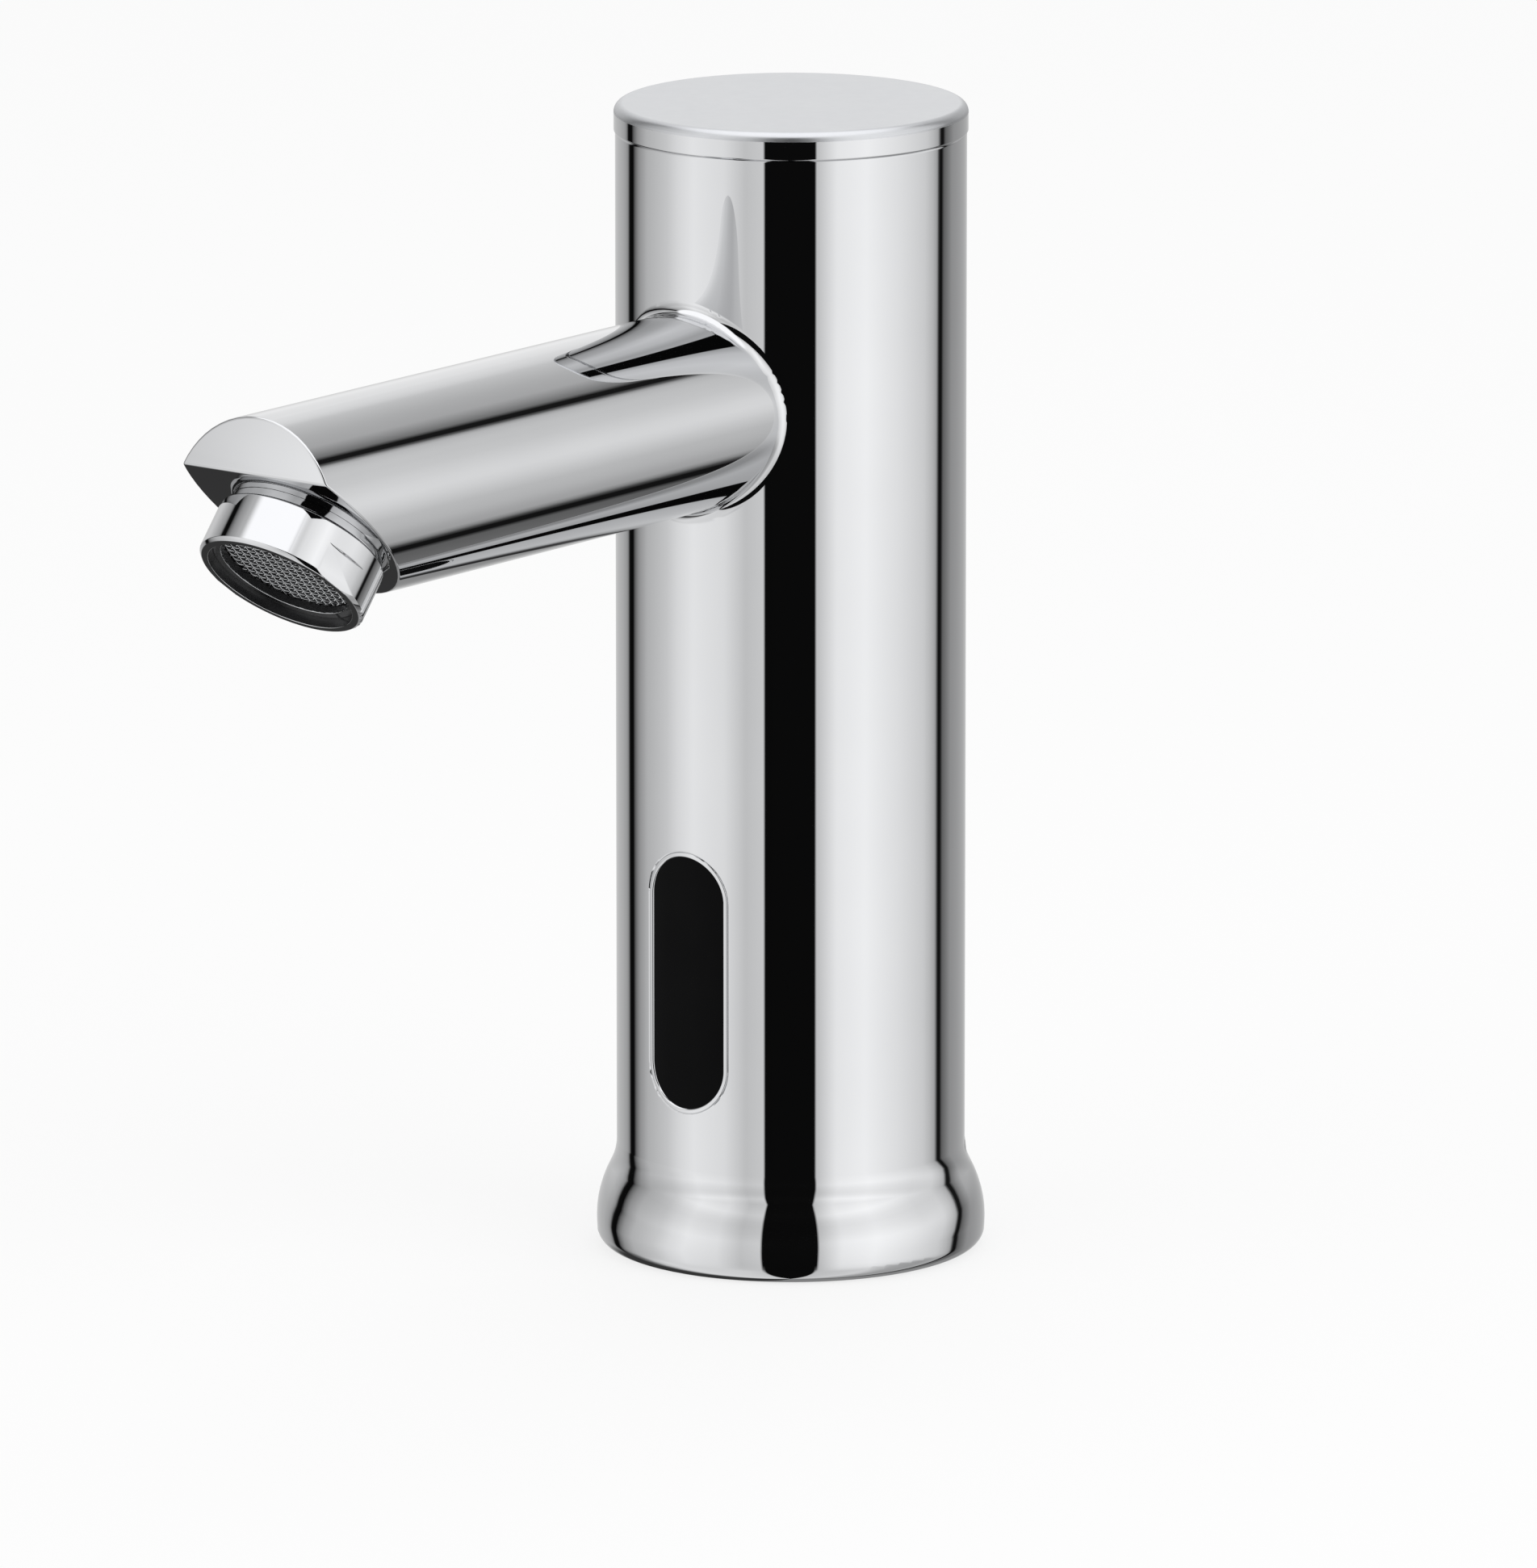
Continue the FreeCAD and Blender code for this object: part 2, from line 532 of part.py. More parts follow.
def body_shell():
    """One casting: column on a flared foot, straight spout, slanted tip, window and inner ledge."""
    body = new_body("body_shell")
    turn(body, outline(new_sketch(body, "XZ_Plane"), [
        ("0", "0"),
        ("foot_side - foot_round", "0", "foot_round", 1),
        ("foot_side", "foot_round", "foot_arc", 1),
        ("column_radius + flare_round*(1 - flare_cos)", "foot_belly + foot_arc*flare_sin", "flare_round", -1),
        ("column_radius", "foot_belly + (foot_arc + flare_round)*flare_sin"),
        ("column_radius", "rim_height - rim_chamfer"),
        ("column_radius - rim_chamfer", "rim_height"),
        ("0", "rim_height"),
    ]))
    pad(body, circle(new_sketch(body, "XZ_Plane"), "0", "spout_height", "spout_radius"), "spout_reach")

    # the front face leans back above the tip's edge, and the cut runs down and back below it
    high, low = "2*spout_radius", "(edge_rise + 2*spout_radius)"
    far = "(spout_reach + spout_radius)"
    pocket(body, outline(new_sketch(body, "YZ_Plane"), [
        ("-spout_reach", "edge_height"),
        (f"-(spout_reach - {high}*tan(face_lean))", f"edge_height + {high}"),
        (f"-{far}", f"edge_height + {high}"),
        (f"-{far}", f"edge_height - {low}"),
        (f"-(spout_reach - {low}/tan(cut_slope))", f"edge_height - {low}"),
    ]), "4*spout_radius", both_ways=True)

    def at_junction(edge):
        box = edge.BoundBox
        return (
            box.YMin < -1
            and box.YMin > -size("column_radius") - 0.1
            and abs(box.ZLength - 2 * size("spout_radius")) < 0.1
        )

    fillet(body, at_junction, "junction_fillet")

    # inside of the column: recess under the foot, ledge, bore and the step for the lid's seal
    groove(body, outline(new_sketch(body, "XZ_Plane"), [
        ("0", "-1"),
        ("recess_radius", "-1"),
        ("recess_radius", "recess_depth"),
        ("ledge_bore", "recess_depth"),
        ("ledge_bore", "ledge_top"),
        ("bore_radius", "ledge_top"),
        ("bore_radius", "rim_height - seal_height"),
        ("bore_radius + seal_width", "rim_height - seal_height"),
        ("bore_radius + seal_width", "rim_height + 1"),
        ("0", "rim_height + 1"),
    ]))
    spout_bore = circle(new_sketch(body, "XZ_Plane"), "0", "spout_height", "spout_radius - spout_wall")
    pocket(body, spout_bore, "spout_bore_end", reverse=True)
    outlet = circle(new_sketch(body, "XZ_Plane"), "0", "spout_height", "adapter_sleeve + fit_gap")
    pocket(body, outlet, "aerator_y - aerator_seat_depth*sin(cut_slope)", reverse=True)

    # seat of the aerator, square to the cut
    seat = new_sketch(body, "YZ_Plane")
    outside, inside = "1", "aerator_seat_depth"
    wall = "(aerator_thread + thread_gap)"

    def on_axis(out, across):
        """A point of the seat: so far out of the cut, and so far across from the axis."""
        return (
            f"-aerator_y - ({out})*sin(cut_slope) + ({across})*cos(cut_slope)",
            f"aerator_z - ({out})*cos(cut_slope) - ({across})*sin(cut_slope)",
        )

    outline(seat, [
        on_axis(outside, "0"),
        on_axis(outside, wall),
        on_axis(f"-{inside}", wall),
        on_axis(f"-{inside}", "0"),
    ])
    feature(body, "Groove", seat, ReferenceAxis=(seat, ["Edge4"]), Angle=360)

    # window, with a sloped rim
    window = stadium(new_sketch(body, "XZ_Plane"), "window_width", "window_height", "window_middle")
    pocket(body, window, "2*column_radius", reverse=True)

    def at_window_rim(edge):
        """Edges where the window's wall meets the column's outer face."""
        middle = edge.valueAt((edge.FirstParameter + edge.LastParameter) / 2)
        along = math.hypot(middle.x, middle.y)
        return (
            abs(along - size("column_radius")) < 0.01
            and middle.y < 0
            and abs(middle.x) < size("window_width/2") + 0.1
            and abs(middle.z - size("window_middle")) < size("window_height/2") + 0.1
        )

    chamfer(body, at_window_rim, "window_slope")

    # tapped holes in the ledge for the valve block's screws
    x, y = round_axis("block_screw_circle", "block_screw_angle")
    screw = hole(body, x, y, "screw_radius + thread_gap", "recess_depth - 1", "ledge_top + 1")
    around(body, screw, "3", "Z_Axis")


# --- lid --------------------------------------------------------------------------------------


def top_cap():
    """Turned lid: a flat plate with a rounded edge over a hollow threaded skirt."""
    body = new_body("top_cap")
    skirt = "(bore_radius - thread_gap)"
    turn(body, outline(new_sketch(body, "XZ_Plane"), [
        ("0", "cap_height - cap_plate"),
        (f"{skirt} - cap_skirt_wall", "cap_height - cap_plate"),
        (f"{skirt} - cap_skirt_wall", "-cap_skirt"),
        (skirt, "-cap_skirt"),
        (skirt, "0"),
        ("cap_radius", "0"),
        ("cap_radius", "cap_height - cap_round"),
        ("cap_radius - cap_round", "cap_height"),
        ("0", "cap_height"),
    ]))
    place(body, z="rim_height")


def cap_seal():
    """Flat ring in the step of the rim."""
    ring("cap_seal", "bore_radius + thread_gap", "bore_radius + seal_width - fit_gap",
         "rim_height - seal_height", "rim_height")


# --- aerator: each piece is drawn upright on the cut's plane and then tilted into the tip -------


def seat_in_tip(body):
    place(body, y="-aerator_y", z="aerator_z", tilt="180 - cut_slope")


def aerator_housing():
    """Chromed sleeve: thread, neck ring, ridges, spanner flats and a lip inside its mouth."""
    body = new_body("aerator_housing")
    turn(body, outline(new_sketch(body, "XZ_Plane"), [
        ("aerator_bore", "-aerator_thread_length"),
        ("aerator_thread", "-aerator_thread_length"),
        ("aerator_thread", "aerator_neck"),
        ("aerator_radius - aerator_edge", "aerator_neck"),
        ("aerator_radius", "aerator_neck + aerator_edge"),
        ("aerator_radius", "aerator_height - aerator_edge"),
        ("aerator_radius - aerator_edge", "aerator_height"),
        ("aerator_mouth", "aerator_height"),
        ("aerator_mouth", "lip_top + lip_height"),
        ("lip_radius", "lip_top + lip_height"),
        ("lip_radius", "lip_top"),
        ("aerator_bore", "lip_top"),
    ]))

    # one V groove on the far side, repeated towards both ends of the ridged part
    bottom = "(aerator_radius - ridge_depth)"
    half = "(aerator_radius*ridge_step*0.5*pi/180)"
    out = "(aerator_radius + fit_gap)"
    first = new_sketch(body, height="aerator_neck + aerator_edge")
    outline(first, [("0", f"-{bottom}"), (f"-{half}", f"-{out}"), (half, f"-{out}")])
    ridges = pocket(body, first, "aerator_height", reverse=True)
    around(body, ridges, "ridge_count", "Z_Axis", "ridge_step*(ridge_count - 1)")

    # two flats for a spanner, turned a little from the side
    for side in ("1", "-1"):
        flat = new_sketch(body, height="aerator_height - flats_height")

        def turned(out, along):
            return (
                f"{side}*({out}*cos(flats_turn) - {along}*sin(flats_turn))",
                f"{side}*({out}*sin(flats_turn) + {along}*cos(flats_turn))",
            )

        out, along = "(aerator_radius + 1)", "aerator_radius"
        outline(flat, [turned("flats_half", f"-{along}"), turned(out, f"-{along}"),
                       turned(out, along), turned("flats_half", along)])
        pocket(body, flat, "aerator_height", reverse=True)
    seat_in_tip(body)


def aerator_insert():
    """Moulded jet former: a cup with a ring of slots in its plate."""
    body = new_body("aerator_insert")
    plate_low, plate_high = "-insert_plate_depth", "(insert_plate - insert_plate_depth)"
    outer = "(aerator_bore - fit_gap)"
    inner = f"({outer} - insert_wall)"
    turn(body, outline(new_sketch(body, "XZ_Plane"), [
        ("0", plate_low),
        (inner, plate_low),
        (inner, "-aerator_thread_length"),
        (outer, "-aerator_thread_length"),
        (outer, "lip_top - mesh_thickness"),
        (inner, "lip_top - mesh_thickness"),
        (inner, plate_high),
        ("0", plate_high),
    ]))
    slot = rectangle(new_sketch(body, height=plate_high), "insert_slot_inner", "insert_slot_outer",
                     "-insert_slot_width/2", "insert_slot_width/2")
    around(body, pocket(body, slot, "insert_plate"), "insert_slots", "Z_Axis")
    seat_in_tip(body)


def aerator_screen():
    """Mesh disc at the mouth: square openings in a grid, a plain rim round them."""
    thickness, pitch, opening = size("mesh_thickness"), size("mesh_pitch"), size("mesh_opening")
    low = size("lip_top") - thickness
    disc = Part.makeCylinder(size("aerator_bore - fit_gap"), thickness, FreeCAD.Vector(0, 0, low))
    reach = size("lip_radius")
    most = int(reach / pitch)
    openings = []
    for column in range(-most, most + 1):
        for row in range(-most, most + 1):
            x, y = column * pitch, row * pitch
            if math.hypot(abs(x) + opening / 2, abs(y) + opening / 2) < reach:
                corner = FreeCAD.Vector(x - opening / 2, y - opening / 2, low - thickness)
                openings.append(Part.makeBox(opening, opening, 3 * thickness, corner))
    seat_in_tip(part_feature("aerator_screen", disc.cut(Part.makeCompound(openings))))


def aerator_washer():
    body = new_body("aerator_washer")
    turn(body, rectangle(new_sketch(body, "XZ_Plane"), "washer_inner", "aerator_thread - fit_gap",
                         "-aerator_seat_depth", "-aerator_thread_length"))
    seat_in_tip(body)


# --- water way in the spout ---------------------------------------------------------------------


def outlet_adapter():
    """Moulded socket: the tube's end on one side, a nose into the aerator's chamber on the other."""
    body = new_body("outlet_adapter")
    turn(body, outline(new_sketch(body, "XZ_Plane"), [
        ("tube_radius + fit_gap", "-adapter_flange_thickness"),
        ("adapter_flange", "-adapter_flange_thickness"),
        ("adapter_flange", "0"),
        ("adapter_sleeve", "0"),
        ("adapter_sleeve", "adapter_nose"),
        ("tube_radius - tube_wall", "adapter_nose"),
        ("tube_radius - tube_wall", "socket_depth"),
        ("tube_radius + fit_gap", "socket_depth"),
    ]))
    place(body, y="-spout_bore_end", z="spout_height", tilt="90")


def part_feature(label, shape):
    made = doc.addObject("Part::Feature", label)
    made.Label = label
    made.Shape = shape
    return made


def tube(label, low, high, x, y, z="0", tilt="0"):
    """A straight length of drawn tube."""
    body = new_body(label)
    turn(body, rectangle(new_sketch(body, "XZ_Plane"), "tube_radius - tube_wall", "tube_radius", low, high))
    place(body, x, y, z, tilt)


def riser_tube():
    tube("riser_tube", "riser_foot", "spout_height - elbow_half + elbow_socket", "tube_x", "-tube_y")


def spout_tube():
    tube("spout_tube", "elbow_front_y - elbow_socket", "spout_bore_end + socket_depth", "0", "0",
         "spout_height", "90")


def riser_elbow():
    """Moulded elbow: socket for the riser below, slanted way across, socket for the spout tube in front."""
    body = new_body("riser_elbow")
    wide = "(tube_radius + elbow_wall)"
    low, tall = "spout_height - elbow_half", "2*elbow_half"
    pad(body, bar_between(new_sketch(body, height=low), ELBOW_TURN, ELBOW_FOOT, wide), tall)
    pad(body, hexagon(new_sketch(body, height=low), *ELBOW_FOOT, wide, "-elbow_foot_turn"), tall)
    front = new_sketch(body, height=low)
    pad(body, rectangle(front, f"-{wide}", wide, "-elbow_front_y", f"{wide} - elbow_turn_y"), tall)
    socket, way = "tube_radius + fit_gap", "tube_radius - tube_wall"
    hole(body, *ELBOW_FOOT, socket, low, f"{low} + elbow_socket")
    hole(body, *ELBOW_FOOT, way, f"{low} + elbow_socket", "spout_height")
    for radius, depth in ((socket, "elbow_socket"), (way, "elbow_front_y - elbow_turn_y")):
        mouth = new_sketch(body, "XZ_Plane", "elbow_front_y")
        pocket(body, circle(mouth, "0", "spout_height", radius), depth)
    bore_between(body, ELBOW_TURN, ELBOW_FOOT, "spout_height", way)


# the slanted way's two ends in plan: in the spout's plane, and over the riser
ELBOW_TURN = ("0", "-elbow_turn_y")
ELBOW_FOOT = ("tube_x", "-tube_y")


def heading(start, end):
    """Unit vector, as two formulas, from one plan point to another."""
    (x0, y0), (x1, y1) = start, end
    run = f"sqrt((({x1}) - ({x0}))^2 + (({y1}) - ({y0}))^2)"
    return f"((({x1}) - ({x0}))/{run})", f"((({y1}) - ({y0}))/{run})"


def bar_between(sketch, start, end, half):
    """A rectangle from one plan point to another, so far to each side of their line."""
    (x0, y0), (x1, y1) = start, end
    ux, uy = heading(start, end)
    return outline(sketch, [
        (f"{x0} + {half}*{uy}", f"{y0} - {half}*{ux}"),
        (f"{x1} + {half}*{uy}", f"{y1} - {half}*{ux}"),
        (f"{x1} - {half}*{uy}", f"{y1} + {half}*{ux}"),
        (f"{x0} - {half}*{uy}", f"{y0} + {half}*{ux}"),
    ])


def bore_between(body, start, end, height, radius):
    """A level bore from one plan point to another."""
    (x0, y0), (x1, y1) = start, end
    ux, uy = heading(start, end)
    half = new_sketch(body, height=height)
    outline(half, [
        (x0, y0),
        (x1, y1),
        (f"{x1} - ({radius})*{uy}", f"{y1} + ({radius})*{ux}"),
        (f"{x0} - ({radius})*{uy}", f"{y0} + ({radius})*{ux}"),
    ])
    feature(body, "Groove", half, ReferenceAxis=(half, ["Edge1"]), Angle=360)


def hexagon(sketch, x, y, flats, turned="0"):
    """A regular hexagon by the distance from its middle to its flats."""
    corner = f"({flats}/cos(30))"
    angles = [f"({turned} + {a})" for a in (30, 90, 150, 210, 270, 330)]
    return outline(sketch, [(f"{x} + {corner}*cos({a})", f"{y} + {corner}*sin({a})") for a in angles])


def riser_nut():
    """Hexagon nut that holds the riser in the block."""
    body = new_body("riser_nut")
    pad(body, hexagon(new_sketch(body), "0", "0", "riser_nut_flats"), "riser_nut_height")
    hole(body, "0", "0", "tube_radius + fit_gap", "0", "riser_nut_height")
    place(body, "tube_x", "-tube_y", "block_top")


# --- sensor window ------------------------------------------------------------------------------


def trim_outside(body, radius):
    """Turns a piece down to a radius about the column's axis, over the window's height."""
    groove(body, rectangle(new_sketch(body, "XZ_Plane"), radius, "2*column_radius",
                           "window_middle - window_height", "window_middle + window_height"))


def window_lens():
    """Dark lens, curved like the column, on a flange that seats from inside."""
    body = new_body("window_lens")
    wide, tall = "(window_width + 2*lens_flange)", "(window_height + 2*lens_flange)"
    narrow, short = "(window_width - 2*lens_gap)", "(window_height - 2*lens_gap)"
    reach = "(column_radius - lens_back)"
    for width, height, surface in (
        (wide, tall, "bore_radius - gasket_thickness"),
        (narrow, short, "column_radius - lens_inset"),
    ):
        sketch = new_sketch(body, "XZ_Plane", "lens_back")
        pad(body, stadium(sketch, width, height, "window_middle"), reach)
        trim_outside(body, surface)


def window_gasket():
    """Thin ring round the window between the lens flange and the column's bore."""
    body = new_body("window_gasket")
    sketch = new_sketch(body, "XZ_Plane", "lens_back")
    stadium(sketch, "(window_width + 2*lens_flange)", "(window_height + 2*lens_flange)", "window_middle")
    stadium(sketch, "window_width", "window_height", "window_middle")
    pad(body, sketch, "column_radius - lens_back")
    trim_outside(body, "bore_radius")
    groove(body, rectangle(new_sketch(body, "XZ_Plane"), "0", "bore_radius - gasket_thickness",
                           "window_middle - window_height", "window_middle + window_height"))


def sensor_housing():
    """Moulded tray open to the lens, with a wall between sender and receiver."""
    body = new_body("sensor_housing")
    half = "tray_width/2"
    outside = new_sketch(body, "XZ_Plane", "tray_back")
    pad(body, rectangle(outside, f"-{half}", half, "tray_bottom", "tray_top"), "tray_front - tray_back")
    inner = f"({half} - tray_wall)"
    for low, high in (
        ("tray_bottom + tray_wall", "barrier_height - tray_wall/2"),
        ("barrier_height + tray_wall/2", "tray_top - tray_wall"),
    ):
        sketch = rectangle(new_sketch(body, "XZ_Plane", "board_front"), f"-{inner}", inner, low, high)
        pocket(body, sketch, "tray_front - board_front", reverse=True)
    slot = new_sketch(body, "XZ_Plane", "board_back")
    rectangle(slot, f"-{inner}", inner, "tray_bottom + tray_wall", "tray_top - tray_wall")
    pocket(body, slot, "board_thickness", reverse=True)
    room_x, room_y = "(lead_width/2 + lead_room)", "(lead_thickness/2 + lead_room)"
    for side in ("plug_x", "-plug_x"):
        notch = rectangle(new_sketch(body, height="tray_top"), f"{side} - {room_x}", f"{side} + {room_x}",
                          f"-lead_y - {room_y}", f"-lead_y + {room_y}")
        pocket(body, notch, "2*tray_wall")
    for height in ("tray_bottom + hook_inset", "tray_top - hook_inset"):
        hook = rectangle(new_sketch(body, "XZ_Plane", "tray_back"), "-hook_width/2", "hook_width/2",
                         f"{height} - hook_height/2", f"{height} + hook_height/2")
        pad(body, hook, "sheet + hook_proud", reverse=True)


def sensor_board():
    body = new_body("sensor_board")
    half = "(tray_width/2 - tray_wall - board_gap)"
    pad(body, rectangle(new_sketch(body, "XZ_Plane", "board_back"), f"-{half}", half,
                        "tray_bottom + tray_wall + board_gap", "board_top"), "board_thickness")


def light(label, height, radius, length):
    """A diode with a sloped nose that stands off the board towards the window."""
    body = new_body(label)
    turn(body, outline(new_sketch(body, "XZ_Plane"), [
        ("0", "0"),
        (radius, "0"),
        (radius, f"{length} - diode_nose"),
        (f"{radius} - diode_nose", length),
        ("0", length),
    ]))
    place(body, y="-board_front", z=height, tilt="90")


def board_connectors():
    """Two sockets at the top of the board, open upwards for the leads' plugs."""
    body = new_body("board_connectors")
    sketch = new_sketch(body, "XZ_Plane", "board_front")
    half = "plug_width/2"
    for middle in ("plug_x", "(-plug_x)"):
        rectangle(sketch, f"{middle} - {half}", f"{middle} + {half}", "plug_top - plug_height", "plug_top")
    body.AllowCompound = True
    pad(body, sketch, "plug_depth")


def inner_frame():
    """Folded steel sheet: foot on the block, spine behind the sensor tray, shelf for the cells."""
    body = new_body("inner_frame")
    front = "(spine_back + sheet)"
    pad(body, rectangle(new_sketch(body, "XZ_Plane", "spine_back"), "-spine_width/2", "spine_width/2",
                        "block_top", "shelf_height"), "sheet")
    pad(body, rectangle(new_sketch(body, height="block_top"), "-foot_tab_width/2", "foot_tab_width/2",
                        "-(spine_back + foot_tab_depth)", f"-{front} + sheet"), "sheet")
    pad(body, rectangle(new_sketch(body, height="shelf_height - sheet"), "-shelf_width/2", "shelf_width/2",
                        f"-{front}", "shelf_back"), "sheet")
    for side in ("ear_screw_x", "-ear_screw_x"):
        hole(body, side, "-ear_screw_y", "small_screw + screw_clearance", "block_top", "block_top + sheet")
    for height in ("tray_bottom + hook_inset", "tray_top - hook_inset"):
        slot = rectangle(new_sketch(body, "XZ_Plane", "spine_back"), "-hook_width/2 - fit_gap",
                         "hook_width/2 + fit_gap", f"{height} - hook_height/2 - fit_gap",
                         f"{height} + hook_height/2 + fit_gap")
        pocket(body, slot, "sheet", reverse=True)
    room_x, room_z = "(lead_width/2 + lead_room)", "(lead_thickness/2 + lead_room)"
    window = new_sketch(body, "XZ_Plane", "spine_back")
    rectangle(window, f"-plug_x - {room_x}", f"-plug_x + {room_x}", f"solenoid_lead_height - {room_z}",
              f"solenoid_lead_height + {room_z}")
    pocket(body, window, "sheet", reverse=True)

    def at_shelf_corner(edge):
        box = edge.BoundBox
        upright = box.XLength < 0.01 and abs(box.ZLength - size("sheet")) < 0.01
        return upright and abs(box.YMin - size("shelf_back")) < 0.01

    fillet(body, at_shelf_corner, "shelf_corner")


# --- valve block --------------------------------------------------------------------------------


def valve_block():
    """Turned and drilled block: inlet and stud holes below, valve seat and riser socket above."""
    body = new_body("valve_block")
    turn(body, outline(new_sketch(body, "XZ_Plane"), [
        ("0", "0"),
        ("boss_radius", "0"),
        ("boss_radius", "ledge_top"),
        ("bore_radius - block_clearance", "ledge_top"),
        ("bore_radius - block_clearance", "block_top"),
        ("0", "block_top"),
    ]))
    # inlet thread, filter pocket and the way up to the chamber round the nozzle
    hole(body, "0", "0", "inlet_radius", "0", "inlet_depth")
    hole(body, "0", "0", "inlet_radius - filter_step", "inlet_depth", "inlet_depth + filter_height")
    chamber_floor = "(seat_top - chamber_depth)"
    ring_middle = "(seat_radius + chamber_radius)/2"
    hole(body, "0", f"valve_y - {ring_middle}", "feed_radius", "inlet_depth + filter_height", chamber_floor)
    # seat of the membrane, chamber and nozzle
    hole(body, "0", "valve_y", "membrane_radius + membrane_gap", "seat_top", "block_top")
    chamber = new_sketch(body, height="seat_top")
    circle(chamber, "0", "valve_y", "chamber_radius")
    circle(chamber, "0", "valve_y", "seat_radius")
    pocket(body, chamber, "chamber_depth")
    way_floor = "way_height - way_radius - way_room"
    hole(body, "0", "valve_y", "nozzle_bore", way_floor, "seat_top")
    # outlet way from under the nozzle to the riser's socket
    hole(body, *ELBOW_FOOT, "tube_radius + fit_gap", "riser_foot", "block_top")
    hole(body, *ELBOW_FOOT, "tube_radius - tube_wall", way_floor, "riser_foot")
    bore_between(body, ("0", "valve_y"), ELBOW_FOOT, "way_height", "way_radius")
    # fastening stud holes, from below
    for side in ("stud_spacing/2", "-stud_spacing/2"):
        hole(body, side, "0", "stud_hole", "0", "stud_depth")
    # screws into the ledge, with sunk heads
    x, y = round_axis("block_screw_circle", "block_screw_angle")
    for radius, floor in (
        ("screw_radius + screw_clearance", "ledge_top"),
        ("screw_head_radius + fit_gap", "block_top - screw_head_height - fit_gap"),
    ):
        around(body, hole(body, x, y, radius, floor, "block_top"), "3", "Z_Axis")
    # tapped holes for the bonnet's and the frame's screws
    tapped = [round_axis("bonnet_screw_circle", angle, "valve_y") for angle in BONNET_SCREW_ANGLES]
    tapped += [("ear_screw_x", "-ear_screw_y"), ("-ear_screw_x", "-ear_screw_y")]
    for x, y in tapped:
        hole(body, x, y, "small_screw + thread_gap", "block_top - small_screw_length", "block_top")


BONNET_SCREW_ANGLES = ("60", "180", "300")


def screw_group(label, places, shank, length, flats, height, seat):
    """Identical hexagon screws as separate solids, with the undersides of their heads on a level."""
    body = new_body(label)
    body.AllowCompound = True
    shanks = new_sketch(body, height=seat)
    heads = new_sketch(body, height=seat)
    for x, y in places:
        circle(shanks, x, y, shank)
        hexagon(heads, x, y, flats)
    pad(body, heads, height)
    pad(body, shanks, length, reverse=True)


def block_screws():
    places = [round_axis("block_screw_circle", f"block_screw_angle + {a}") for a in (0, 120, 240)]
    seat = "block_top - screw_head_height - fit_gap"
    screw_group("block_screws", places, "screw_radius", f"{seat} - recess_depth - screw_end_gap",
                "screw_head_radius*cos(30)", "screw_head_height", seat)


def bonnet_screws():
    places = [round_axis("bonnet_screw_circle", angle, "valve_y") for angle in BONNET_SCREW_ANGLES]
    screw_group("bonnet_screws", places, "small_screw", "small_screw_length", "small_head*cos(30)",
                "small_head_height", "bonnet_top")


def frame_screws():
    places = [("ear_screw_x", "-ear_screw_y"), ("-ear_screw_x", "-ear_screw_y")]
    screw_group("frame_screws", places, "small_screw", "small_screw_length - sheet", "small_head*cos(30)",
                "small_head_height", "block_top + sheet")


def inlet_filter():
    """Disc with a cross of ribs over the inlet."""
    body = new_body("inlet_filter")
    pad(body, circle(new_sketch(body), "0", "0", "inlet_radius - filter_step - fit_gap"), "filter_height")
    near, far = "filter_rib/2", "filter_rib/2 + filter_opening"
    first = rectangle(new_sketch(body, height="filter_height"), near, far, near, far)
    around(body, pocket(body, first, "filter_height"), "4", "Z_Axis")
    place(body, z="inlet_depth")


# --- diaphragm valve ----------------------------------------------------------------------------


def diaphragm():
    """Rubber membrane: thick rim, thin web, hole for the disc's stem."""
    body = new_body("diaphragm")
    turn(body, outline(new_sketch(body, "XZ_Plane"), [
        ("disc_stem + fit_gap", "0"),
        ("membrane_radius", "0"),
        ("membrane_radius", "membrane_rim"),
        ("membrane_radius - membrane_rim_width", "membrane_rim"),
        ("membrane_radius - membrane_rim_width", "membrane_web"),
        ("disc_stem + fit_gap", "membrane_web"),
    ]))
    place(body, y="valve_y", z="seat_top")


def diaphragm_disc():
    """Stiff disc on the membrane, with the pilot hole through its stem."""
    body = new_body("diaphragm_disc")
    turn(body, outline(new_sketch(body, "XZ_Plane"), [
        ("pilot_hole", "-membrane_web"),
        ("disc_stem", "-membrane_web"),
        ("disc_stem", "0"),
        ("disc_radius", "0"),
        ("disc_radius", "disc_thickness"),
        ("pilot_hole", "disc_thickness"),
    ]))
    place(body, y="valve_y", z="membrane_top")


def valve_bonnet():
    """Moulded cover: round flange with three lugs, space for the membrane, hexagon hub for the core tube."""
    body = new_body("valve_bonnet")
    pad(body, circle(new_sketch(body), "0", "0", "bonnet_radius"), "bonnet_thickness")
    lug = circle(new_sketch(body), *round_axis("bonnet_screw_circle", BONNET_SCREW_ANGLES[0]), "bonnet_lug")
    around(body, pad(body, lug, "bonnet_thickness"), "3", "Z_Axis")
    pad(body, hexagon(new_sketch(body, height="bonnet_thickness"), "0", "0", "hub_radius"), "hub_height")
    hole(body, "0", "0", "core_radius + fit_gap", "0", "bonnet_thickness + hub_height")
    hole(body, "0", "0", "bonnet_cavity", "0", "bonnet_cavity_height")
    for angle in BONNET_SCREW_ANGLES:
        x, y = round_axis("bonnet_screw_circle", angle)
        hole(body, x, y, "small_screw + screw_clearance", "0", "bonnet_thickness")
    place(body, y="valve_y", z="block_top")


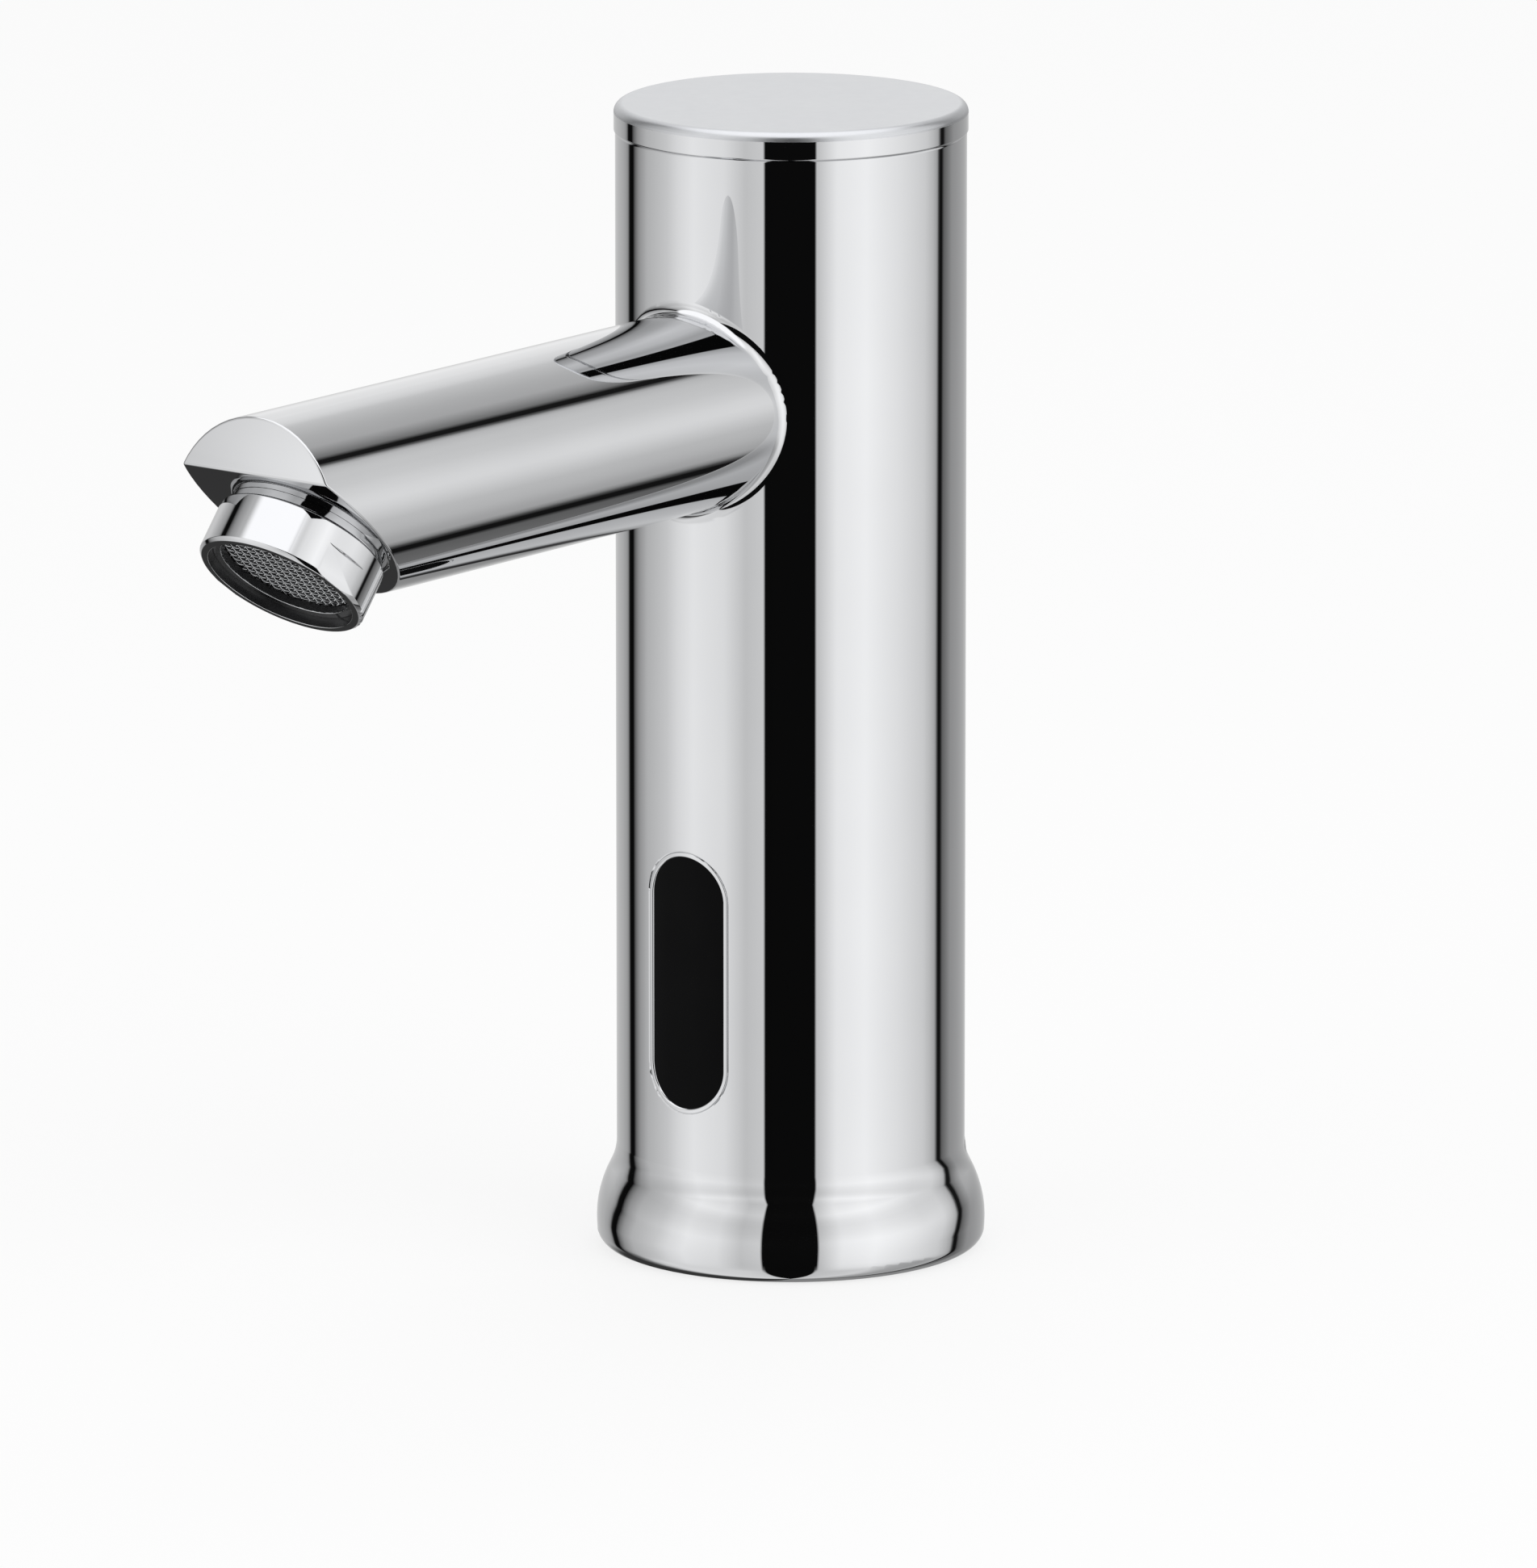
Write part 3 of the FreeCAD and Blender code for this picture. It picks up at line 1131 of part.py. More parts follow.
def core_tube():
    """Steel tube on a flange under the bonnet, with a solid pole in its top."""
    body = new_body("core_tube")
    turn(body, outline(new_sketch(body, "XZ_Plane"), [
        ("core_bore", "core_foot"),
        ("core_flange", "core_foot"),
        ("core_flange", "core_foot + core_flange_thickness"),
        ("core_radius", "core_foot + core_flange_thickness"),
        ("core_radius", "core_top"),
        ("0", "core_top"),
        ("0", "pole_bottom"),
        ("core_bore", "pole_bottom"),
    ]))
    place(body, y="valve_y")


def plunger():
    """Armature with a pocket for the rubber tip below and a bore for the spring above."""
    body = new_body("plunger")
    outer = "(core_bore - plunger_gap)"
    low, high = "(disc_top + pad_proud)", "(pole_bottom - plunger_top_gap)"
    turn(body, outline(new_sketch(body, "XZ_Plane"), [
        ("pad_radius", low),
        (outer, low),
        (outer, high),
        ("spring_radius + fit_gap", high),
        ("spring_radius + fit_gap", "pole_bottom - spring_length"),
        ("0", "pole_bottom - spring_length"),
        ("0", f"{low} + pad_length - pad_proud"),
        ("pad_radius", f"{low} + pad_length - pad_proud"),
    ]))
    place(body, y="valve_y")


def plunger_pad():
    body = new_body("plunger_pad")
    pad(body, circle(new_sketch(body, height="disc_top"), "0", "0", "pad_radius"), "pad_length")
    place(body, y="valve_y")


def plunger_spring():
    """Space of the closing spring between the plunger's bore and the pole."""
    ring("plunger_spring", "spring_radius - spring_wire", "spring_radius",
         "pole_bottom - spring_length", "pole_bottom", y="valve_y")


# --- solenoid -----------------------------------------------------------------------------------


def coil_bobbin():
    """Moulded former with square flanges."""
    body = new_body("coil_bobbin")
    low = "(hub_top + yoke_thickness)"
    sleeve = "(core_radius + fit_gap + bobbin_wall)"
    half = "bobbin_half"
    pad(body, circle(new_sketch(body, height=low), "0", "0", sleeve), "bobbin_height")
    for height in (low, f"{low} + bobbin_height - bobbin_wall"):
        flange = new_sketch(body, height=height)
        pad(body, rectangle(flange, f"-{half}", half, f"-{half}", half), "bobbin_wall")
    hole(body, "0", "0", "core_radius + fit_gap", low, f"{low} + bobbin_height")
    place(body, y="valve_y")


def coil_winding():
    low = "(hub_top + yoke_thickness + bobbin_wall)"
    ring("coil_winding", "core_radius + fit_gap + bobbin_wall", "winding_radius", low,
         f"{low} + bobbin_height - 2*bobbin_wall", y="valve_y")


def coil_frame():
    """Steel strip folded into a box round the bobbin."""
    body = new_body("coil_frame")
    sketch = new_sketch(body, "XZ_Plane")
    inner = "(bobbin_half + yoke_gap)"
    outer = f"({inner} + yoke_thickness)"
    rectangle(sketch, f"-{outer}", outer, "hub_top", "yoke_top")
    rectangle(sketch, f"-{inner}", inner, "hub_top + yoke_thickness", "yoke_top - yoke_thickness")
    pad(body, sketch, "yoke_width", both_ways=True)
    hole(body, "0", "0", "core_radius + fit_gap", "hub_top", "yoke_top")
    place(body, y="valve_y")


def latch_magnet():
    body = new_body("latch_magnet")
    pad(body, rectangle(new_sketch(body, height="yoke_top"), "-magnet_half", "magnet_half", "-magnet_half",
                        "magnet_half"), "magnet_height")
    hole(body, "0", "0", "core_radius + fit_gap", "yoke_top", "magnet_top")
    place(body, y="valve_y")


def core_nut():
    """Thin hexagon nut that holds yoke, coil and magnet on the core tube."""
    body = new_body("core_nut")
    pad(body, hexagon(new_sketch(body, height="magnet_top"), "0", "0", "core_nut_flats"), "core_nut_height")
    hole(body, "0", "0", "core_radius + fit_gap", "magnet_top", "magnet_top + core_nut_height")
    place(body, y="valve_y")


# --- leads --------------------------------------------------------------------------------------


def flat_lead(label, x, runs):
    """A flat lead that lies in an upright plane at x: straight runs, each bend a quarter round.

    runs are the corners of its middle line as (y, z); every bend turns clockwise seen from +X.
    """
    body = new_body(label)
    half = "lead_thickness/2"
    right, left = lead_side(runs, f"-{half}"), lead_side(runs, half)
    # the left side is walked backwards: each arc then starts at what was its end and bends the other way
    back = []
    for n in range(len(left) - 1, -1, -1):
        corner = left[n][:2]
        arc_before = n > 0 and len(left[n - 1]) == 4
        back.append((*corner, left[n - 1][2], 1) if arc_before else corner)
    sketch = new_sketch(body, "YZ_Plane", f"{x} - lead_width/2")
    pad(body, outline(sketch, right + back), "lead_width")


def lead_side(runs, offset):
    """Corners and arcs of a line beside a lead's middle line, offset to its left."""
    side = []
    for n, (y, z) in enumerate(runs):
        before, after = direction(runs, n - 1), direction(runs, n)

        def beside(back, way):
            """The point so far back along a run, offset square to it."""
            along_y, along_z = way
            return (
                f"{y} - ({back})*({along_y}) - ({offset})*({along_z})",
                f"{z} - ({back})*({along_z}) + ({offset})*({along_y})",
            )

        if before and after:
            side.append((*beside("lead_bend", before), f"lead_bend + ({offset})", -1))
            side.append(beside("-lead_bend", after))
        else:
            side.append(beside("0", before or after))
    return side


def direction(runs, n):
    """Unit direction of run n of a route whose runs are level or upright, or None past its ends."""
    if n < 0 or n + 1 >= len(runs):
        return None
    (y0, z0), (y1, z1) = [(size(y), size(z)) for y, z in runs[n:n + 2]]
    if abs(y1 - y0) > abs(z1 - z0):
        return ("1" if y1 > y0 else "-1"), "0"
    return "0", ("1" if z1 > z0 else "-1")


def battery_lead():
    """From the right-hand socket up and back into the holder's front."""
    flat_lead("battery_lead", "plug_x", [
        ("-lead_y", "plug_top"),
        ("-lead_y", "battery_lead_height"),
        ("holder_y - holder_side/2", "battery_lead_height"),
    ])


def solenoid_lead():
    """From the left-hand socket up, back through the spine and down to the bobbin's top flange."""
    flat_lead("solenoid_lead", "-plug_x", [
        ("-lead_y", "plug_top"),
        ("-lead_y", "solenoid_lead_height"),
        ("-solenoid_lead_y", "solenoid_lead_height"),
        ("-solenoid_lead_y", "yoke_top - yoke_thickness"),
    ])


# --- cells --------------------------------------------------------------------------------------


def cell_places():
    half = "cell_spacing/2"
    return [(f"{sx}*{half}", f"holder_y + {sy}*{half}") for sx in ("1", "-1") for sy in ("1", "-1")]


def battery_holder():
    """Moulded cup for four cells, its corners round them."""
    body = new_body("battery_holder")
    outside = rounded(new_sketch(body, height="shelf_height"), "holder_side/2", "holder_side/2", "holder_y",
                      "holder_corner")
    pad(body, outside, "holder_top - shelf_height")
    well = "(cell_spacing/2 + cell_radius + cell_gap)"
    inside = rounded(new_sketch(body, height="holder_top"), well, well, "holder_y", "cell_radius + cell_gap")
    pocket(body, inside, "holder_top - shelf_height - holder_floor")


def battery_lid():
    """Snap-on lid with a strap to pull the pack out of the column."""
    body = new_body("battery_lid")
    outside = rounded(new_sketch(body, height="holder_top"), "holder_side/2", "holder_side/2", "holder_y",
                      "holder_corner")
    pad(body, outside, "holder_lid")
    strap = new_sketch(body, "XZ_Plane", "-holder_y")
    half, top = "strap_width/2", "(holder_top + holder_lid + strap_height)"
    rectangle(strap, f"-{half}", half, "holder_top + holder_lid", top)
    rectangle(strap, f"-{half} + strap_thickness", f"{half} - strap_thickness", "holder_top + holder_lid",
              f"{top} - strap_thickness")
    pad(body, strap, "strap_thickness", both_ways=True)


def battery_cells():
    """Four cells, every other one upside down; each has its small end button."""
    body = new_body("battery_cells")
    body.AllowCompound = True
    can = new_sketch(body, height="cell_bottom + cell_button_height")
    up = new_sketch(body, height="cell_top - cell_button_height")
    down = new_sketch(body, height="cell_bottom")
    for n, (x, y) in enumerate(cell_places()):
        circle(can, x, y, "cell_radius")
        circle(up if n in (0, 3) else down, x, y, "cell_button")
    pad(body, can, "cell_length - 2*cell_button_height")
    pad(body, up, "cell_button_height")
    pad(body, down, "cell_button_height")


def battery_contacts():
    """Contact plates under and over the cells."""
    body = new_body("battery_contacts")
    body.AllowCompound = True
    half = "contact_width/2"
    low = new_sketch(body, height="shelf_height + holder_floor")
    high = new_sketch(body, height="holder_top - contact_thickness")
    for x, y in cell_places():
        rectangle(low, f"{x} - {half}", f"{x} + {half}", f"{y} - {half}", f"{y} + {half}")
        rectangle(high, f"{x} - {half}", f"{x} + {half}", f"{y} - {half}", f"{y} + {half}")
    pad(body, low, "contact_thickness")
    pad(body, high, "contact_thickness")


def base_gasket():
    ring("base_gasket", "base_gasket_inner", "recess_radius - base_gasket_gap", "0", "recess_depth")


# --- build, check and write ---------------------------------------------------------------------


def build():
    fill_sheet()
    body_shell()
    top_cap()
    cap_seal()
    aerator_housing()
    aerator_insert()
    aerator_screen()
    aerator_washer()
    outlet_adapter()
    riser_tube()
    riser_elbow()
    spout_tube()
    riser_nut()
    window_lens()
    window_gasket()
    sensor_housing()
    sensor_board()
    light("ir_emitter", "emitter_height", "led_radius", "led_length")
    light("ir_receiver", "receiver_height", "led_radius", "led_length")
    light("status_led", "status_height", "status_radius", "status_length")
    board_connectors()
    inner_frame()
    valve_block()
    block_screws()
    bonnet_screws()
    frame_screws()
    inlet_filter()
    diaphragm()
    diaphragm_disc()
    valve_bonnet()
    core_tube()
    plunger()
    plunger_pad()
    plunger_spring()
    coil_bobbin()
    coil_winding()
    coil_frame()
    latch_magnet()
    core_nut()
    battery_lead()
    solenoid_lead()
    battery_holder()
    battery_lid()
    battery_cells()
    battery_contacts()
    base_gasket()
    doc.recompute()


def check_and_write():
    for made in doc.Objects:
        if "Invalid" in made.State or "Error" in made.State:
            raise ValueError(f"{made.Name}: {made.State}")
    pieces = [o for o in doc.Objects if o.TypeId in ("PartDesign::Body", "Part::Feature")]
    for piece in pieces:
        if piece.Shape.isNull() or not piece.Shape.isValid() or not piece.Shape.Solids:
            raise ValueError(f"{piece.Label} has no valid solid")
    os.makedirs("parts", exist_ok=True)
    for piece in pieces:
        piece.Shape.exportStep(f"parts/{piece.Label}.step")
    print(len(pieces), "pieces written")


build()
check_and_write()
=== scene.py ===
import math
import bmesh
import bpy
from mathutils import Matrix, Vector


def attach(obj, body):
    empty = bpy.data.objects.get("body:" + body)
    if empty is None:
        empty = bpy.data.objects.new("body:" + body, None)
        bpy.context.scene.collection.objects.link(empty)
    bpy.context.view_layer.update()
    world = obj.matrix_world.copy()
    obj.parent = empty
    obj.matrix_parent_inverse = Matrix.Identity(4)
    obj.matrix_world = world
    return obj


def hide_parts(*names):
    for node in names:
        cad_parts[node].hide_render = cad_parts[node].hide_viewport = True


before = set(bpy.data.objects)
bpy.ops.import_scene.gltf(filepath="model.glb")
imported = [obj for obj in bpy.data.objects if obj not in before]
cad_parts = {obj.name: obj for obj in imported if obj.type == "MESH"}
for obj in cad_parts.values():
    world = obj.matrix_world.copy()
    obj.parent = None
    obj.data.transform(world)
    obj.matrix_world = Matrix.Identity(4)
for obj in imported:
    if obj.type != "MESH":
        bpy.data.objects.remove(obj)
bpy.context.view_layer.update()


# --- Camera -------------------------------------------------------------------------------------
# A long lens from the front right, a little above the tap, so that upright lines stay parallel. It
# looks at a point near the middle of the column.
view_azimuth, view_height = math.radians(37.5), math.radians(12.3)
camera_distance, focal_length, sensor_height = 2.5, 401.3, 36
aim_right, aim_height = -0.0032, 0.067
to_right = Vector((math.cos(view_azimuth), math.sin(view_azimuth), 0))
to_camera = Vector((
    math.sin(view_azimuth) * math.cos(view_height),
    -math.cos(view_azimuth) * math.cos(view_height),
    math.sin(view_height),
))
image_up = to_camera.cross(to_right)
aim = to_right * aim_right + Vector((0, 0, aim_height))
lens = bpy.data.cameras.new("studio_lens")
lens.sensor_fit = "VERTICAL"
lens.sensor_height = sensor_height
lens.lens = focal_length
camera = bpy.data.objects.new("studio_camera", lens)
turn = Matrix((to_right, image_up, to_camera)).transposed()
camera.matrix_world = Matrix.Translation(aim + to_camera * camera_distance) @ turn.to_4x4()
bpy.context.scene.collection.objects.link(camera)
bpy.context.scene.camera = camera
bpy.context.scene.view_settings.view_transform = "Standard"


# --- Studio -------------------------------------------------------------------------------------
# A round white room: two bright cloth walls either side of a dark opening for the camera, their
# far edges dark, a greyer wall behind. Metal shows the room; everything else gets plain light.
def node(tree, kind, place, **settings):
    """A new shader node at its place in the tree, with its settings made."""
    made = tree.nodes.new("ShaderNode" + kind)
    made.location = place
    for name, value in settings.items():
        setattr(made, name, value)
    return made


room = bpy.data.worlds.new("studio_room")
bpy.context.scene.world = room
room.use_nodes = True
room_tree = room.node_tree
room_tree.nodes.clear()
direction = node(room_tree, "TexCoord", (-1400, 0)).outputs["Generated"]
to_front = Vector((to_camera.x, to_camera.y, 0)).normalized()


def along(target, place):
    """How far the ray's direction goes along the target."""
    dot = node(room_tree, "VectorMath", place, operation="DOT_PRODUCT")
    room_tree.links.new(direction, dot.inputs[0])
    dot.inputs[1].default_value = target
    return dot.outputs["Value"]


def worked(operation, place, *values):
    """A math node fed by sockets or plain numbers."""
    made = node(room_tree, "Math", place, operation=operation)
    for socket, value in zip(made.inputs, values):
        if isinstance(value, (int, float)):
            socket.default_value = value
        else:
            room_tree.links.new(value, socket)
    return made.outputs[0]


def ramp_by(position, stops, full_turn, place):
    """Brightness by an angle in degrees: the ramp's middle is 0, its ends are half of full_turn."""
    ramp = node(room_tree, "ValToRGB", place)
    elements = ramp.color_ramp.elements
    while len(elements) < len(stops):
        elements.new(0.5)
    for element, (degrees, tone) in zip(elements, stops):
        element.position = 0.5 + degrees / full_turn
        element.color = (tone, tone, tone, 1)
    room_tree.links.new(position, ramp.inputs[0])
    return ramp.outputs[0]


climb = worked("ARCSINE", (-1000, -100), along((0, 0, 1), (-1200, -100)))
climb_place = worked("MULTIPLY_ADD", (-800, -100), climb, 1 / math.pi, 0.5)
# the side walls' edges aren't upright: they drift to the right above and below the height that the
# lens sees level, by these shares of a full turn, and the opening for the camera stays straight
drift = ramp_by(climb_place, [
    (-90, 6 / 360),
    (-33, 4 / 360),
    (-12, 0.0),
    (-1, 6 / 360),
    (90, 6 / 360),
], 180, (-800, -250))
heading = worked("ARCTAN2", (-1000, 200), along(to_right, (-1200, 300)), along(to_front, (-1200, 150)))
upright = worked("MULTIPLY_ADD", (-800, 200), heading, 1 / math.tau, 0.5)
side_gain, side_blend, side_power = 0.8, 0.3, 3.0
off_front = worked("ABSOLUTE", (-900, 400), heading)
sideways = worked("MULTIPLY", (-850, 400), off_front, side_gain)
sideways = worked("SMOOTH_MIN", (-800, 400), sideways, 1.0, side_blend)
sideways = worked("POWER", (-780, 400), sideways, side_power)
moved = worked("MULTIPLY", (-760, 300), drift, sideways)
heading_place = worked("FRACT", (-640, 200), worked("SUBTRACT", (-720, 200), upright, moved))
side_walls = ramp_by(heading_place, [
    (-180, 0.45),
    (-168, 0.4),
    (-148, 0.36),
    (-140, 0.31),
    (-136.5, 0.23),
    (-133.5, 0.003),
    (-127.5, 0.003),
    (-125.5, 0.1),
    (-120, 0.26),
    (-110, 0.42),
    (-100, 0.48),
    (-90, 0.55),
    (-80, 0.67),
    (-68, 0.76),
    (-45, 0.69),
    (-30, 0.51),
    (-18, 0.56),
    (-17, 0.003),
    (15.8, 0.003),
    (16.6, 0.5),
    (30, 0.78),
    (50, 0.85),
    (75, 0.72),
    (98, 0.58),
    (106, 0.45),
    (110.6, 0.34),
    (113, 0.006),
    (117.3, 0.006),
    (119, 0.1),
    (131, 0.25),
    (160, 0.33),
    (180, 0.45),
], 360, (-550, 350))
heights = ramp_by(climb_place, [
    (-90, 0.3),
    (-60, 0.55),
    (-36, 0.86),
    (-12, 1),
    (3, 1.06),
    (12, 0.96),
    (19, 0.92),
    (24, 0.95),
    (31, 1.08),
    (42, 0.94),
    (60, 1),
], 180, (-550, 0))
back_glow = ramp_by(heading_place, [
    (-180, 0.2),
    (-157, 0.15),
    (-140, 0.05),
    (-120, 0.0),
    (80, 0.0),
    (98, 0.06),
    (112, 0.1),
    (118, 0.2),
    (124, 0.26),
    (144, 0.22),
    (161, 0.22),
    (167, 0.33),
    (172, 0.4),
    (176, 0.27),
    (180, 0.2),
], 360, (-550, 650))
low_walls = ramp_by(heading_place, [
    (-180, 0.03),
    (-132, 0.03),
    (-118, 0.15),
    (-105, 0.5),
    (-90, 0.66),
    (-30, 0.6),
    (-17, 0.55),
    (-16.5, 0.003),
    (15, 0.003),
    (15.5, 0.5),
    (50, 0.6),
    (70, 0.35),
    (90, 0.3),
    (104, 0.36),
    (110, 0.34),
    (113, 0.006),
    (117.3, 0.006),
    (119, 0.1),
    (131, 0.13),
    (140, 0.22),
    (180, 0.2),
], 360, (-550, -300))


def between(low, high, place):
    """0 below the lower climb, 1 above the higher one, both in degrees."""
    made = node(room_tree, "MapRange", place, interpolation_type="SMOOTHSTEP")
    made.inputs["From Min"].default_value = math.radians(low)
    made.inputs["From Max"].default_value = math.radians(high)
    room_tree.links.new(climb, made.inputs["Value"])
    return made.outputs[0]


def mixed(factor, first, second, place, blend="MIX"):
    """A colour mix fed by sockets, colours or a plain factor."""
    made = node(room_tree, "Mix", place, data_type="RGBA", blend_type=blend)
    for socket, value in ((0, factor), (6, first), (7, second)):
        if isinstance(value, (int, float, tuple)):
            made.inputs[socket].default_value = value
        else:
            room_tree.links.new(value, made.inputs[socket])
    return made.outputs[2]


glow_gain = 2.0
even_walls = mixed(1, side_walls, heights, (-250, 250), "MULTIPLY")
higher = worked("MULTIPLY", (-250, 650), back_glow, between(-6, 10, (-400, 600)))
brighter = worked("MULTIPLY_ADD", (-150, 650), higher, glow_gain, 1.0)
lit_walls = mixed(1, even_walls, brighter, (-150, 350), "MULTIPLY")
ceiling = mixed(between(46, 53, (-250, -50)), lit_walls, (0.97, 0.97, 0.98, 1), (-50, 200))
round_tap = mixed(between(-33, -19, (-250, -350)), low_walls, ceiling, (100, 100))
# the stops above are the tones that chrome shows, so the room is brighter by what chrome swallows
chrome_tone = 0.62
room_light = mixed(1, round_tap, (1 / chrome_tone,) * 3 + (1,), (250, 100), "MULTIPLY")
rays = node(room_tree, "LightPath", (-400, 500))
plain = mixed(rays.outputs["Is Glossy Ray"], (0.72, 0.72, 0.72, 1), room_light, (420, 100))
seen = mixed(rays.outputs["Is Camera Ray"], plain, (1, 1, 1, 1), (600, 100))
background = node(room_tree, "Background", (780, 100))
room_tree.links.new(seen, background.inputs["Color"])
room_output = node(room_tree, "OutputWorld", (960, 100))
room_tree.links.new(background.outputs[0], room_output.inputs["Surface"])

# the floor is a sheet of white paper just under the foot, which glows a little for the camera
floor_size, floor_gap, glow_share = 12, 0.00005, 0.75
bpy.ops.object.select_all(action="DESELECT")
bpy.ops.mesh.primitive_plane_add(size=floor_size, location=(0, 0, -floor_gap))
floor = bpy.context.object
floor.name = "floor"
floor.visible_glossy = False
paper = bpy.data.materials.new("white_paper")
paper.use_nodes = True
paper_tree = paper.node_tree
matt = paper_tree.nodes["Principled BSDF"]
matt.inputs["Base Color"].default_value = (0.93, 0.93, 0.93, 1)
matt.inputs["Roughness"].default_value = 1
matt.inputs["Specular IOR Level"].default_value = 0
glow = node(paper_tree, "Emission", (0, -400))
paper_rays = node(paper_tree, "LightPath", (-300, 500))
shown = node(paper_tree, "Math", (0, 500), operation="MULTIPLY")
paper_tree.links.new(paper_rays.outputs["Is Camera Ray"], shown.inputs[0])
shown.inputs[1].default_value = glow_share
whiter = node(paper_tree, "MixShader", (300, 300))
paper_tree.links.new(shown.outputs[0], whiter.inputs[0])
paper_tree.links.new(matt.outputs[0], whiter.inputs[1])
paper_tree.links.new(glow.outputs[0], whiter.inputs[2])
paper_tree.links.new(whiter.outputs[0], paper_tree.nodes["Material Output"].inputs["Surface"])
floor.data.materials.append(paper)

tent_size, tent_distance = 1.2, 1.1
for name, degrees, height, power in (
    ("key_tent", 50, 0.9, 5),
    ("fill_tent", -55, 0.8, 3),
    ("top_tent", 170, 1.6, 4),
):
    lamp = bpy.data.lights.new(name, "AREA")
    lamp.size = tent_size
    lamp.energy = power
    holder = bpy.data.objects.new(name, lamp)
    angle = math.radians(degrees)
    outward = to_front * math.cos(angle) + to_right * math.sin(angle)
    place = outward * tent_distance + Vector((0, 0, height))
    facing = (place - aim).to_track_quat("Z", "Y").to_matrix()
    holder.matrix_world = Matrix.Translation(place) @ facing.to_4x4()
    holder.visible_glossy = False
    bpy.context.scene.collection.objects.link(holder)


# --- Cast body ----------------------------------------------------------------------------------
# One brass casting, ground and polished all over and chrome plated: column, flared foot, straight
# spout with a leaning face and a slanted cut, and the window's opening with its rolled rim.
column_radius, rim_height = 0.025, 0.162
foot_radius, foot_belly, foot_arc, foot_round = 0.0279, 0.0037, 0.016, 0.0023
flare_round, soft_flare = 0.003, 0.008
spout_radius, spout_height, root_depth = 0.0142, 0.125, 0.003
junction_round, small_round, tip_round, seam_round = 0.0028, 0.0019, 0.0004, 0.00025
tip_edge = Vector((0, -0.121, 0.13125))
face_lean, cut_slope = math.radians(5.7), math.radians(40.5)
window_width, window_height, window_middle = 0.013, 0.0372, 0.0423
straight_half = (window_height - window_width) / 2
arc_middle = foot_radius - foot_arc
foot_side = arc_middle + math.sqrt(foot_arc**2 - (foot_belly - foot_round) ** 2)
# a point this near to a surface lies on it, and a facet's middle may lie this far inside a round one
near, facet_sag = 0.00003, 0.0002


def flare_top(flare):
    """Height at which a flare of that radius, tangent to the foot's arc, runs into the column."""
    whole = foot_arc + flare
    return foot_belly + whole * math.sqrt(1 - ((column_radius + flare - arc_middle) / whole) ** 2)


def flare_foot(flare):
    """Height at which the flare meets the foot's arc."""
    return foot_belly + (flare_top(flare) - foot_belly) * foot_arc / (foot_arc + flare)


flare_height, flare_start = flare_top(flare_round), flare_foot(flare_round)
soft_height, soft_start = flare_top(soft_flare), flare_foot(soft_flare)


def bench_copy(packed, name):
    """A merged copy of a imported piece, its flat faces joined up, ready to be worked on."""
    bpy.ops.object.select_all(action="DESELECT")
    piece = bpy.data.objects.new(name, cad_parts[packed].data.copy())
    bpy.context.scene.collection.objects.link(piece)
    piece.data.materials.clear()
    piece.select_set(True)
    bpy.context.view_layer.objects.active = piece
    bpy.ops.object.mode_set(mode="EDIT")
    bpy.ops.mesh.select_all(action="SELECT")
    bpy.ops.mesh.remove_doubles(threshold=0.000002)
    bpy.ops.mesh.dissolve_limited(angle_limit=math.radians(0.3))
    bpy.ops.object.mode_set(mode="OBJECT")
    return piece


def round_edges(piece, width, wanted, segments=3):
    """Rounds the sharp edges whose middle is wanted."""
    least_turn = math.radians(25)
    bpy.context.view_layer.objects.active = piece
    bpy.ops.object.mode_set(mode="EDIT")
    bpy.ops.mesh.select_mode(type="EDGE")
    bpy.ops.mesh.select_all(action="DESELECT")
    mesh = bmesh.from_edit_mesh(piece.data)
    for edge in mesh.edges:
        middle = (edge.verts[0].co + edge.verts[1].co) / 2
        edge.select_set(edge.calc_face_angle(0) > least_turn and wanted(middle))
    bmesh.update_edit_mesh(piece.data)
    bpy.ops.mesh.bevel(offset=width, segments=segments, profile=0.5)
    bpy.ops.object.mode_set(mode="OBJECT")


def join(piece, *others):
    """Makes the others part of the piece."""
    bpy.ops.object.select_all(action="DESELECT")
    for other in (piece, *others):
        other.select_set(True)
    bpy.context.view_layer.objects.active = piece
    bpy.ops.object.join()


def turned_side(radius, low, high, bench=Matrix.Identity(4)):
    """The true normal at a point of a turned side, about the bench's own Z."""
    home, out = bench.inverted(), bench.to_3x3()

    def normal_at(point):
        local = home @ point
        if low - near <= local.z <= high + near and abs(math.hypot(local.x, local.y) - radius) < near:
            return (out @ Vector((local.x, local.y, 0))).normalized()
    return normal_at


def turned_arc(middle_radius, middle_height, radius, low, high):
    """The true normal at a point of a turned round, whose profile is an arc about that middle."""
    def normal_at(point):
        reach = math.hypot(point.x, point.y)
        across, up = reach - middle_radius, point.z - middle_height
        if low - near <= point.z <= high + near and reach and abs(math.hypot(across, up) - radius) < near:
            return Vector((point.x / reach * across, point.y / reach * across, up)).normalized()
    return normal_at


def ball_middle(turned, ball):
    """Middle of the ball that rolls between spout and column, at an angle round the spout."""
    across = (spout_radius + ball) * math.cos(turned)
    up = (spout_radius + ball) * math.sin(turned)
    return Vector((across, -math.sqrt((column_radius + ball) ** 2 - across**2), spout_height + up))


def ball_at(point, ball):
    """The angle at which the rolling ball touches a point, or nothing if it doesn't."""
    turned = math.atan2(point.z - spout_height, point.x)
    step, least_step = math.radians(6), 0.00001
    while step > least_step:
        places = (turned - step, turned, turned + step)
        turned = min(places, key=lambda angle: (point - ball_middle(angle, ball)).length)
        step = step if turned != places[1] else step / 2
    if abs((ball_middle(turned, ball) - point).length - ball) < near:
        return turned


